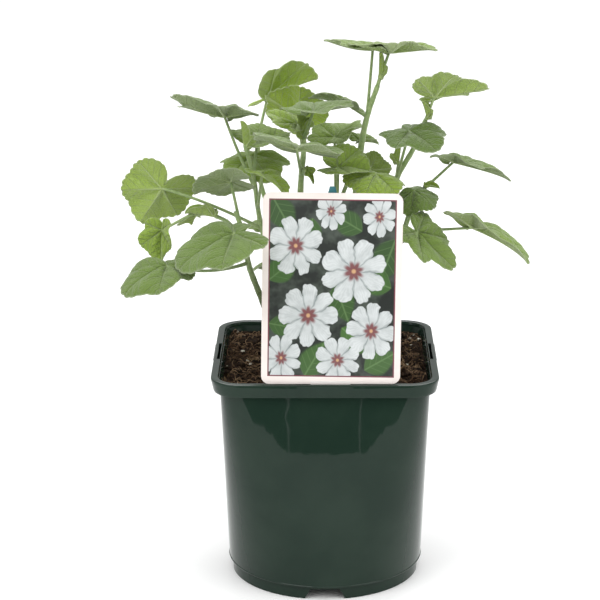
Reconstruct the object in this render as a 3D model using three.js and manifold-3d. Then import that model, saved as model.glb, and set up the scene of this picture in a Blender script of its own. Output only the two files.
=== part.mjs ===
// Potted tree mallow: a bushy young plant in a square-topped nursery pot, with its picture label.
// Units are millimetres, +Z is up, and the origin is the centre of the pot's underside.
// The label stands at the front of the rim, which is the -Y side.
import * as THREE from 'three';
import { mergeVertices } from 'three/addons/utils/BufferGeometryUtils.js';
import Module from 'manifold-3d';

const wasm = await Module();
wasm.setup();

// Driving dimensions of the pot
const POT_HEIGHT = 144;
const RIM_WIDTH = 140;
const RIM_CORNER_RADIUS = 19;
const RIM_BAND_HEIGHT = 8.5;
const RIM_BAND_DRAFT = 1.6;
const RIM_TOP_WIDTH = 4.5;
const RIM_EDGE_ROUND = 0.7;
const WALL = 1.6;
const WALL_TOP_HALF = 64.4;
const WALL_TOP_CORNER_RADIUS = 14;
const WALL_BASE_RADIUS = 62;
const FOOT_RADIUS = 60.2;
const FOOT_HEIGHT = 8.3;
const FOOT_THICKNESS = 1.8;
const FLOOR_UNDERSIDE = 4;
const FLOOR_THICKNESS = 2;
const CORNER_STEPS = 5;
const NOTCH_WIDTH_BELOW = 26.6;
const NOTCH_WIDTH_ABOVE = 20;
const NOTCH_HEIGHT = 7;
const SLOT_LENGTH = 33;
const SLOT_END_WIDTH = 2;
const SLOT_WAIST_WIDTH = 1.5;
const SLOT_INSET = 3.1;
const SLOT_DEPTH = 6;
const POCKET_LENGTH = 37;
const DRAIN_RADIUS = 5;
const DRAIN_CIRCLE_RADIUS = 38;

// Driving dimensions of the mix, the label and the stake
const GAP = 0.3;
const SOIL_DEPTH_BELOW_RIM = 5;
const SOIL_RELIEF = 1.4;
const SOIL_RINGS = 6;
const STEM_HOLE_FLOOR = 117.6;
const STEM_FOOT = 118;
const STEM_HOLE_CLEARANCE = 1.1;
const LABEL_WIDTH = 84;
const LABEL_HEIGHT = 115;
const LABEL_CORNER_RADIUS = 5;
const LABEL_THICKNESS = 0.8;
const LABEL_LEAN_DEG = 9;
const LABEL_TILT_DEG = 0.8;
const LABEL_CENTRE_X = 3.3;
const TONGUE_WIDTH = 24;
const TONGUE_LENGTH = 4;
const STAKE_WIDTH = 6;
const STAKE_THICKNESS = 1.6;
const STAKE_AT = [4.5, -44];
const STAKE_TOP = 261;
const STAKE_FOOT = 100;

// Driving dimensions of the plant
const BLADE_THICKNESS = 0.8;
const PETIOLE_RADIUS = 0.9;
const PETIOLE_SIDES = 4;
const PETIOLE_STEPS = 3;
const SHORT_PETIOLE = 12;
const SHORT_PETIOLE_STEPS = 2;
const PETIOLE_FOOT_SHARE = 1.15;
const PETIOLE_END_SHARE = 0.9;
const STEM_SIDES = 7;
const STEM_STEP_LENGTH = 22;

const material = (hex, roughness, metalness = 0) =>
  new THREE.MeshStandardMaterial({ color: hex, roughness, metalness, side: THREE.DoubleSide });

const POT_PLASTIC = material(0x28403a, 0.25);
const POTTING_MIX = material(0x2d241d, 0.95);
const LABEL_CARD = material(0xf3e6e2, 0.35);
const STAKE_PLASTIC = material(0x1f6f74, 0.4);
const LEAF_GREEN = material(0x7d9a5c, 0.6);

const radians = THREE.MathUtils.degToRad;

// Solids: from a closed geometry to a manifold and back
function solidOf(geometry) {
  const bare = geometry.index ? geometry.clone() : geometry;
  for (const name of ['normal', 'uv']) bare.deleteAttribute(name);
  const merged = mergeVertices(bare, 1e-4);
  return new wasm.Manifold(new wasm.Mesh({
    numProp: 3,
    vertProperties: Float32Array.from(merged.attributes.position.array),
    triVerts: Uint32Array.from(merged.index.array),
  }));
}

function geometryOf(solid) {
  const mesh = solid.getMesh();
  const geometry = new THREE.BufferGeometry();
  geometry.setAttribute('position', new THREE.BufferAttribute(mesh.vertProperties, 3));
  geometry.setIndex(new THREE.BufferAttribute(mesh.triVerts, 1));
  geometry.computeVertexNormals();
  return geometry;
}

const joined = (solids) => solids.reduce((whole, solid) => whole.add(solid));
const moved = (geometry, x, y, z) => geometry.translate(x, y, z);

function named(name, solid, finish) {
  const mesh = new THREE.Mesh(geometryOf(solid), finish);
  mesh.name = name;
  return mesh;
}

// One ring of the pot: a square with rounded corners, which is a circle where the corner
// radius is the half-width
function roundedSquareRing(half, cornerRadius, height) {
  const points = [];
  const reach = half - cornerRadius;
  for (let corner = 0; corner < 4; corner += 1) {
    for (let step = 0; step <= CORNER_STEPS; step += 1) {
      const turn = (corner + step / CORNER_STEPS) * Math.PI / 2;
      const cornerTurn = (corner + 0.5) * Math.PI / 2;
      const x = reach * Math.SQRT2 * Math.cos(cornerTurn) + cornerRadius * Math.cos(turn);
      const y = reach * Math.SQRT2 * Math.sin(cornerTurn) + cornerRadius * Math.sin(turn);
      points.push(new THREE.Vector3(x, y, height));
    }
  }
  return points;
}

// A closed skin over a stack of rings, closed by a point on the axis at each end
function ringSkin(rings, firstHeight, lastHeight) {
  const count = rings[0].length;
  const positions = [0, 0, firstHeight];
  rings.forEach((ring) => ring.forEach((point) => positions.push(point.x, point.y, point.z)));
  positions.push(0, 0, lastHeight);
  const last = rings.length * count + 1;
  const faces = [];
  const at = (ring, step) => 1 + ring * count + (step % count);
  for (let step = 0; step < count; step += 1) {
    faces.push(0, at(0, step + 1), at(0, step));
    faces.push(last, at(rings.length - 1, step), at(rings.length - 1, step + 1));
    for (let ring = 0; ring + 1 < rings.length; ring += 1) {
      const [a, b] = [at(ring, step), at(ring, step + 1)];
      const [c, d] = [at(ring + 1, step), at(ring + 1, step + 1)];
      faces.push(a, b, d, a, d, c);
    }
  }
  const geometry = new THREE.BufferGeometry();
  geometry.setAttribute('position', new THREE.Float32BufferAttribute(positions, 3));
  geometry.setIndex(faces);
  return geometry;
}

// Outer wall at a height: the square corners run out into a circle at the base
function wallAt(height, inset = 0) {
  const wallTop = POT_HEIGHT - RIM_BAND_HEIGHT;
  const share = (height - FOOT_HEIGHT) / (wallTop - FOOT_HEIGHT);
  const half = THREE.MathUtils.lerp(WALL_BASE_RADIUS, WALL_TOP_HALF, share) - inset;
  const cornerRadius = THREE.MathUtils.lerp(WALL_BASE_RADIUS, WALL_TOP_CORNER_RADIUS, share) - inset;
  return roundedSquareRing(half, Math.min(cornerRadius, half), height);
}

function tagSlot(quarter) {
  const shape = new THREE.Shape();
  const end = SLOT_LENGTH / 2;
  shape.moveTo(-end, -SLOT_END_WIDTH / 2);
  shape.lineTo(0, -SLOT_WAIST_WIDTH / 2);
  shape.lineTo(end, -SLOT_END_WIDTH / 2);
  shape.lineTo(end, SLOT_END_WIDTH / 2);
  shape.lineTo(0, SLOT_WAIST_WIDTH / 2);
  shape.lineTo(-end, SLOT_END_WIDTH / 2);
  const slot = new THREE.ExtrudeGeometry(shape, { depth: SLOT_DEPTH + 1, bevelEnabled: false });
  moved(slot, 0, SLOT_INSET - RIM_WIDTH / 2, POT_HEIGHT - SLOT_DEPTH);
  return solidOf(slot.rotateZ(quarter * Math.PI / 2));
}

// The pocket under each slot fills the hollow of the rim between the wall and the band
function slotPocket(quarter) {
  const [inner, outer] = [WALL_TOP_HALF - 0.4, RIM_WIDTH / 2 - RIM_BAND_DRAFT - 0.2];
  const [low, high] = [POT_HEIGHT - RIM_BAND_HEIGHT + 0.4, POT_HEIGHT - WALL / 2];
  const block = new THREE.BoxGeometry(POCKET_LENGTH, outer - inner, high - low);
  moved(block, 0, -(inner + outer) / 2, (low + high) / 2);
  return solidOf(block.rotateZ(quarter * Math.PI / 2));
}

function footNotch(quarter) {
  const shape = new THREE.Shape();
  const [below, above] = [NOTCH_WIDTH_BELOW / 2, NOTCH_WIDTH_ABOVE / 2];
  const corner = 2;
  shape.moveTo(-below, -1);
  shape.lineTo(below, -1);
  shape.lineTo(above, NOTCH_HEIGHT - corner);
  shape.quadraticCurveTo(above, NOTCH_HEIGHT, above - corner, NOTCH_HEIGHT);
  shape.lineTo(corner - above, NOTCH_HEIGHT);
  shape.quadraticCurveTo(-above, NOTCH_HEIGHT, -above, NOTCH_HEIGHT - corner);
  const notch = new THREE.ExtrudeGeometry(shape, { depth: 10, bevelEnabled: false, curveSegments: 3 });
  notch.rotateX(Math.PI / 2);
  moved(notch, 0, -(FOOT_RADIUS - FOOT_THICKNESS - 4), 0);
  return solidOf(notch.rotateZ(quarter * Math.PI / 2));
}

function drainHole(turn) {
  const sides = 12;
  const length = 4 * FLOOR_THICKNESS;
  const hole = new THREE.CylinderGeometry(DRAIN_RADIUS, DRAIN_RADIUS, length, sides);
  hole.rotateX(Math.PI / 2);
  const x = DRAIN_CIRCLE_RADIUS * Math.cos(turn);
  const y = DRAIN_CIRCLE_RADIUS * Math.sin(turn);
  return solidOf(moved(hole, x, y, FLOOR_UNDERSIDE + FLOOR_THICKNESS / 2));
}

function potSolid() {
  const rimHalf = RIM_WIDTH / 2;
  const skirtFoot = POT_HEIGHT - RIM_BAND_HEIGHT;
  const plateUnderside = POT_HEIGHT - WALL;
  const innerRimHalf = rimHalf - RIM_TOP_WIDTH;
  const square = (half, height) =>
    roundedSquareRing(half, RIM_CORNER_RADIUS - (rimHalf - half), height);
  const floorTop = FLOOR_UNDERSIDE + FLOOR_THICKNESS;
  const rings = [
    roundedSquareRing(FOOT_RADIUS - FOOT_THICKNESS, FOOT_RADIUS - FOOT_THICKNESS, FLOOR_UNDERSIDE),
    roundedSquareRing(FOOT_RADIUS - FOOT_THICKNESS, FOOT_RADIUS - FOOT_THICKNESS, 0),
    roundedSquareRing(FOOT_RADIUS - 0.4, FOOT_RADIUS - 0.4, 0),
    roundedSquareRing(FOOT_RADIUS, FOOT_RADIUS, 0.5),
    roundedSquareRing(FOOT_RADIUS, FOOT_RADIUS, FOOT_HEIGHT),
    wallAt(FOOT_HEIGHT),
    wallAt(skirtFoot),
    square(WALL_TOP_HALF + 0.3, plateUnderside),
    square(rimHalf - WALL - 0.4, plateUnderside),
    square(rimHalf - RIM_BAND_DRAFT - 1.4, skirtFoot),
    square(rimHalf - RIM_BAND_DRAFT, skirtFoot),
    square(rimHalf, POT_HEIGHT - RIM_EDGE_ROUND),
    square(rimHalf - RIM_EDGE_ROUND, POT_HEIGHT),
    square(innerRimHalf, POT_HEIGHT),
    wallAt(POT_HEIGHT - 6.5, WALL),
    wallAt(floorTop + 3, WALL),
    roundedSquareRing(WALL_BASE_RADIUS - 4, WALL_BASE_RADIUS - 4, floorTop),
  ];
  let pot = solidOf(ringSkin(rings, FLOOR_UNDERSIDE, floorTop));
  for (let quarter = 0; quarter < 4; quarter += 1) {
    pot = pot.add(slotPocket(quarter)).subtract(tagSlot(quarter));
    pot = pot.subtract(footNotch(quarter));
    pot = pot.subtract(drainHole((quarter + 0.5) * Math.PI / 2));
  }
  return pot;
}

// Relief of the mix: broad humps with smaller crumbs, level at the wall
function soilHeight(x, y) {
  const top = POT_HEIGHT - SOIL_DEPTH_BELOW_RIM;
  const humps = Math.sin(x / 13 + 0.6) * Math.cos(y / 11 - 0.4);
  const crumbs = 0.55 * Math.sin(x / 4.3 + y / 6.1) + 0.45 * Math.cos(y / 3.7 - x / 7.3);
  return top + SOIL_RELIEF * (humps + crumbs);
}

function soilSolid(holes) {
  const top = POT_HEIGHT - SOIL_DEPTH_BELOW_RIM;
  const inset = WALL + 2 * GAP;
  const floor = FLOOR_UNDERSIDE + FLOOR_THICKNESS + GAP;
  const rings = [
    roundedSquareRing(WALL_BASE_RADIUS - 4.4, WALL_BASE_RADIUS - 4.4, floor),
    wallAt(floor + 3.2, inset),
  ];
  const edge = wallAt(top, inset);
  for (let ring = 0; ring < SOIL_RINGS; ring += 1) {
    const share = 1 - ring / SOIL_RINGS;
    rings.push(edge.map(({ x, y }) =>
      new THREE.Vector3(x * share, y * share, soilHeight(x * share, y * share))));
  }
  let soil = solidOf(ringSkin(rings, floor, soilHeight(0, 0)));
  for (const hole of holes) soil = soil.subtract(hole);
  return soil;
}

function stemHole([x, y, , radius]) {
  const height = 40;
  const sides = 10;
  const bore = radius + STEM_HOLE_CLEARANCE;
  const hole = new THREE.CylinderGeometry(bore, bore, height, sides).rotateX(Math.PI / 2);
  return solidOf(moved(hole, x, y, STEM_HOLE_FLOOR + height / 2));
}

function stakeHole() {
  const [x, y] = STAKE_AT;
  const height = 60;
  const box = new THREE.BoxGeometry(STAKE_WIDTH + 2 * GAP, STAKE_THICKNESS + 2 * GAP, height);
  return solidOf(moved(box, x, y, STAKE_FOOT - GAP + height / 2));
}

function stakeSolid() {
  const shape = new THREE.Shape();
  const half = STAKE_WIDTH / 2;
  const [pointHalf, pointEnd] = [1, STAKE_FOOT + 14];
  const [topHalf, topStart] = [half - 1.4, STAKE_TOP - 5];
  shape.moveTo(-pointHalf, STAKE_FOOT);
  shape.lineTo(pointHalf, STAKE_FOOT);
  shape.lineTo(half, pointEnd);
  shape.lineTo(half, topStart);
  shape.lineTo(topHalf, STAKE_TOP);
  shape.lineTo(-topHalf, STAKE_TOP);
  shape.lineTo(-half, topStart);
  shape.lineTo(-half, pointEnd);
  const blade = new THREE.ExtrudeGeometry(shape, { depth: STAKE_THICKNESS, bevelEnabled: false });
  blade.rotateX(Math.PI / 2);
  return solidOf(moved(blade, STAKE_AT[0], STAKE_AT[1] + STAKE_THICKNESS / 2, 0));
}

// The label: a card with round corners, leaning back, and its tongue upright in the front slot.
// It stands a little askew, with its lower edge cut level with the rim
function labelSolid() {
  const shape = new THREE.Shape();
  const half = LABEL_WIDTH / 2;
  const r = LABEL_CORNER_RADIUS;
  const drop = LABEL_WIDTH * Math.tan(radians(LABEL_TILT_DEG));
  shape.moveTo(r - half, -drop);
  shape.lineTo(half - r, 0);
  shape.absarc(half - r, r, r, -Math.PI / 2, 0);
  shape.absarc(half - r, LABEL_HEIGHT - r, r, 0, Math.PI / 2);
  shape.absarc(r - half, LABEL_HEIGHT - r, r, Math.PI / 2, Math.PI);
  shape.absarc(r - half, r - drop, r, Math.PI, Math.PI * 1.5);
  const card = new THREE.ExtrudeGeometry(shape, {
    depth: LABEL_THICKNESS, bevelEnabled: false, curveSegments: 5,
  });
  moved(card, 0, 0, -LABEL_THICKNESS / 2);
  card.rotateZ(-radians(LABEL_TILT_DEG));
  card.rotateX(Math.PI / 2 - radians(LABEL_LEAN_DEG));
  const slotY = SLOT_INSET - RIM_WIDTH / 2;
  const clear = POT_HEIGHT + GAP + half * Math.sin(radians(LABEL_TILT_DEG)) + 0.1;
  moved(card, LABEL_CENTRE_X, slotY, clear);
  const tongue = new THREE.BoxGeometry(TONGUE_WIDTH, LABEL_THICKNESS, TONGUE_LENGTH + 2);
  moved(tongue, LABEL_CENTRE_X, slotY, POT_HEIGHT + 1 - TONGUE_LENGTH / 2);
  return joined([solidOf(card), solidOf(tongue)]);
}

// Leaf outlines in polar form about the petiole's end. Each lobe has a turn from the middle
// lobe, a length as a share of the leaf's size, and the form says how fast a lobe falls away.
const FORMS = {
  round: { lobes: [[0, 1], [54, 0.94], [110, 0.84]], fall: 0.55, power: 2, tooth: 0.07, teeth: 16 },
  maple: { lobes: [[0, 1], [50, 0.8], [108, 0.66]], fall: 0.8, power: 1.35, tooth: 0.08, teeth: 16 },
  heart: { lobes: [[0, 1], [58, 0.82], [122, 0.68]], fall: 0.6, power: 1.7, tooth: 0.05, teeth: 16 },
  kidney: { lobes: [[0, 1], [50, 0.84], [112, 0.6]], fall: 0.6, power: 1.9, tooth: 0.05, teeth: 16 },
  arrow: { lobes: [[0, 1], [48, 0.62], [112, 0.68]], fall: 0.8, power: 1.3, tooth: 0.07, teeth: 16 },
  fan: { lobes: [[0, 1], [42, 0.94], [80, 0.76]], fall: 0.8, power: 2, tooth: 0.07, teeth: 16 },
  young: { lobes: [[0, 1], [46, 0.6], [95, 0.3]], fall: 0.95, power: 1.2, tooth: 0.09, teeth: 10 },
};
const LOBE_BLEND = 14;
const SINUS_REACH = 0.07;
const MIDDLE_RING = 0.56;
const RIB_HALF_WIDTH = 0.12;
const SWELL = 0.05;
const RIPPLES = 5;
const STRAIGHT = 1e-6;

function outlineReach(form, theta) {
  const { lobes, fall, power, tooth, teeth } = form;
  let sum = 0;
  for (const [turn, length] of lobes) {
    for (const side of turn === 0 ? [1] : [-1, 1]) {
      const away = Math.abs(theta - side * radians(turn));
      sum += Math.max(0, length * (1 - fall * away ** power)) ** LOBE_BLEND;
    }
  }
  const reach = Math.max(SINUS_REACH, sum ** (1 / LOBE_BLEND));
  return reach * (1 - tooth * (1 - Math.abs(Math.cos(teeth * theta / 2))));
}

// Height of the blade's relief: the ribs to the lobes lie low and the blade swells between them
function pleat(form, theta) {
  const turns = form.lobes.map(([turn]) => radians(turn));
  const away = Math.abs(theta);
  for (let lobe = 0; lobe + 1 < turns.length; lobe += 1) {
    if (away < turns[lobe + 1]) {
      return Math.sin(Math.PI * (away - turns[lobe]) / (turns[lobe + 1] - turns[lobe])) ** 2;
    }
  }
  return 0;
}

// A point of the blade in the leaf's own frame: along the rib, across it, and up
function bladePoint(leaf, share, theta) {
  const form = FORMS[leaf.form];
  const reach = leaf.size * share * outlineReach(form, theta);
  const along = reach * Math.cos(theta);
  const across = reach * Math.sin(theta);
  const out = Math.abs(across);
  const curl = radians(leaf.curl) / leaf.size;
  const halfArc = curl * out / 2;
  const chord = out * (Math.abs(halfArc) < STRAIGHT ? 1 : Math.sin(halfArc) / halfArc);
  const slope = radians(leaf.fold) * Math.min(1, out / (RIB_HALF_WIDTH * leaf.size)) + halfArc;
  const sideways = Math.sign(across) * chord * Math.cos(slope);
  const wave = leaf.wave * share * share * Math.sin(RIPPLES * theta + leaf.seed);
  const rise = chord * Math.sin(slope) + wave
    + SWELL * leaf.size * share * pleat(form, theta);
  const bend = radians(leaf.bend) / leaf.size;
  const turn = bend * along;
  const halfTurn = turn / 2;
  const ribChord = along * (Math.abs(halfTurn) < STRAIGHT ? 1 : Math.sin(halfTurn) / halfTurn);
  return [
    ribChord * Math.cos(halfTurn) + rise * Math.sin(turn),
    sideways,
    -ribChord * Math.sin(halfTurn) + rise * Math.cos(turn),
  ];
}

// The leaf's frame: along from the petiole to the tip, then rolled about that line
function leafFrame(leaf) {
  const along = new THREE.Vector3().fromArray(leaf.tip).sub(new THREE.Vector3().fromArray(leaf.at));
  const halfBend = radians(leaf.bend) / 2;
  leaf.size = along.length() * (Math.abs(halfBend) < STRAIGHT ? 1 : halfBend / Math.sin(halfBend));
  along.normalize();
  const up = new THREE.Vector3(0, 0, 1);
  up.addScaledVector(along, -up.dot(along)).normalize();
  up.applyAxisAngle(along, radians(leaf.roll));
  const across = new THREE.Vector3().crossVectors(up, along);
  along.applyAxisAngle(across, -halfBend);
  up.applyAxisAngle(across, -halfBend);
  return new THREE.Matrix4().makeBasis(along, across, up).setPosition(...leaf.at);
}

// The blade: one sheet of points from the petiole's end to the toothed edge, given its
// thickness along its own normals, with both faces split alike
function bladeSolid(leaf) {
  const frame = leafFrame(leaf);
  const { teeth } = FORMS[leaf.form];
  const positions = [...bladePoint(leaf, 0, 0)];
  const rings = [[MIDDLE_RING, teeth], [1, 2 * teeth]];
  for (const [share, count] of rings) {
    for (let step = 0; step < count; step += 1) {
      const turn = 2 * Math.PI * step / count;
      const theta = turn > Math.PI ? turn - 2 * Math.PI : turn;
      positions.push(...bladePoint(leaf, share, theta));
    }
  }
  const faces = [];
  const inner = (step) => 1 + (step % teeth);
  const outer = (step) => 1 + teeth + (step % (2 * teeth));
  for (let step = 0; step < teeth; step += 1) {
    faces.push(0, inner(step), inner(step + 1));
    faces.push(inner(step), outer(2 * step), outer(2 * step + 1));
    faces.push(inner(step), outer(2 * step + 1), inner(step + 1));
    faces.push(inner(step + 1), outer(2 * step + 1), outer(2 * step + 2));
  }
  const sheet = new THREE.BufferGeometry();
  sheet.setAttribute('position', new THREE.Float32BufferAttribute(positions, 3));
  sheet.setIndex(faces);
  sheet.computeVertexNormals();
  const normals = sheet.attributes.normal.array;
  const count = positions.length / 3;
  const shifted = (side) => positions.map((value, i) => value + side * normals[i] * BLADE_THICKNESS / 2);
  const underside = [];
  for (let face = 0; face < faces.length; face += 3) {
    underside.push(faces[face] + count, faces[face + 2] + count, faces[face + 1] + count);
  }
  const edge = [];
  for (let step = 0; step < 2 * teeth; step += 1) {
    const [a, b] = [outer(step), outer(step + 1)];
    edge.push(a, a + count, b + count, a, b + count, b);
  }
  const blade = new THREE.BufferGeometry();
  const points = [...shifted(1), ...shifted(-1)];
  blade.setAttribute('position', new THREE.Float32BufferAttribute(points, 3));
  blade.setIndex([...faces, ...underside, ...edge]);
  return solidOf(blade.applyMatrix4(frame));
}

// A round stalk along a curve, closed at both ends, thinning from one radius to another
function stalkSolid(curve, steps, sides, startRadius, endRadius) {
  const { normals, binormals } = curve.computeFrenetFrames(steps, false);
  const positions = [...curve.getPointAt(0).toArray()];
  for (let step = 0; step <= steps; step += 1) {
    const centre = curve.getPointAt(step / steps);
    const radius = THREE.MathUtils.lerp(startRadius, endRadius, step / steps);
    for (let side = 0; side < sides; side += 1) {
      const turn = 2 * Math.PI * side / sides;
      const point = centre.clone()
        .addScaledVector(normals[step], radius * Math.cos(turn))
        .addScaledVector(binormals[step], radius * Math.sin(turn));
      positions.push(...point.toArray());
    }
  }
  positions.push(...curve.getPointAt(1).toArray());
  const last = (steps + 1) * sides + 1;
  const at = (step, side) => 1 + step * sides + (side % sides);
  const faces = [];
  for (let side = 0; side < sides; side += 1) {
    faces.push(0, at(0, side + 1), at(0, side));
    faces.push(last, at(steps, side), at(steps, side + 1));
    for (let step = 0; step < steps; step += 1) {
      const [a, b] = [at(step, side), at(step, side + 1)];
      const [c, d] = [at(step + 1, side), at(step + 1, side + 1)];
      faces.push(a, b, d, a, d, c);
    }
  }
  const stalk = new THREE.BufferGeometry();
  stalk.setAttribute('position', new THREE.Float32BufferAttribute(positions, 3));
  stalk.setIndex(faces);
  return solidOf(stalk);
}

function stemCurve(points) {
  return new THREE.CatmullRomCurve3(points.map(([x, y, z]) => new THREE.Vector3(x, y, z)));
}

function stemSolid(points) {
  const curve = stemCurve(points);
  const steps = Math.max(3, Math.round(curve.getLength() / STEM_STEP_LENGTH));
  return stalkSolid(curve, steps, STEM_SIDES, points[0][3], points[points.length - 1][3]);
}

// The point of the stalks nearest to a place, so that every petiole is rooted in a stalk
function nearestOnStalks(curves, place) {
  const samples = curves.flatMap((curve) => curve.getSpacedPoints(80));
  const wanted = new THREE.Vector3().fromArray(place);
  return samples.reduce((best, point) =>
    (point.distanceTo(wanted) < best.distanceTo(wanted) ? point : best));
}

function petioleSolid(leaf, curves) {
  const start = nearestOnStalks(curves, leaf.from);
  const end = new THREE.Vector3().fromArray(leaf.at);
  const middle = start.clone().add(end).multiplyScalar(0.5);
  middle.z += leaf.sag;
  const curve = new THREE.QuadraticBezierCurve3(start, middle, end);
  const steps = start.distanceTo(end) < SHORT_PETIOLE ? SHORT_PETIOLE_STEPS : PETIOLE_STEPS;
  const footRadius = PETIOLE_RADIUS * PETIOLE_FOOT_SHARE;
  const endRadius = PETIOLE_RADIUS * PETIOLE_END_SHARE;
  return stalkSolid(curve, steps, PETIOLE_SIDES, footRadius, endRadius);
}

// A leaf of the plant. at is the petiole's end on the blade, tip the middle lobe's end and from
// the petiole's start. roll turns the blade about its rib, fold and curl raise its two halves,
// bend droops its tip, wave ripples its edge, and sag lifts or lowers the petiole's middle.
let leafCount = 0;
function leaf(form, from, at, tip, roll, shape = {}) {
  leafCount += 1;
  const plain = { fold: 0, curl: 0, bend: 0, wave: 1, sag: 0, seed: leafCount * 1.7 };
  return { form, from, at, tip, roll, ...plain, ...shape };
}

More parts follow.
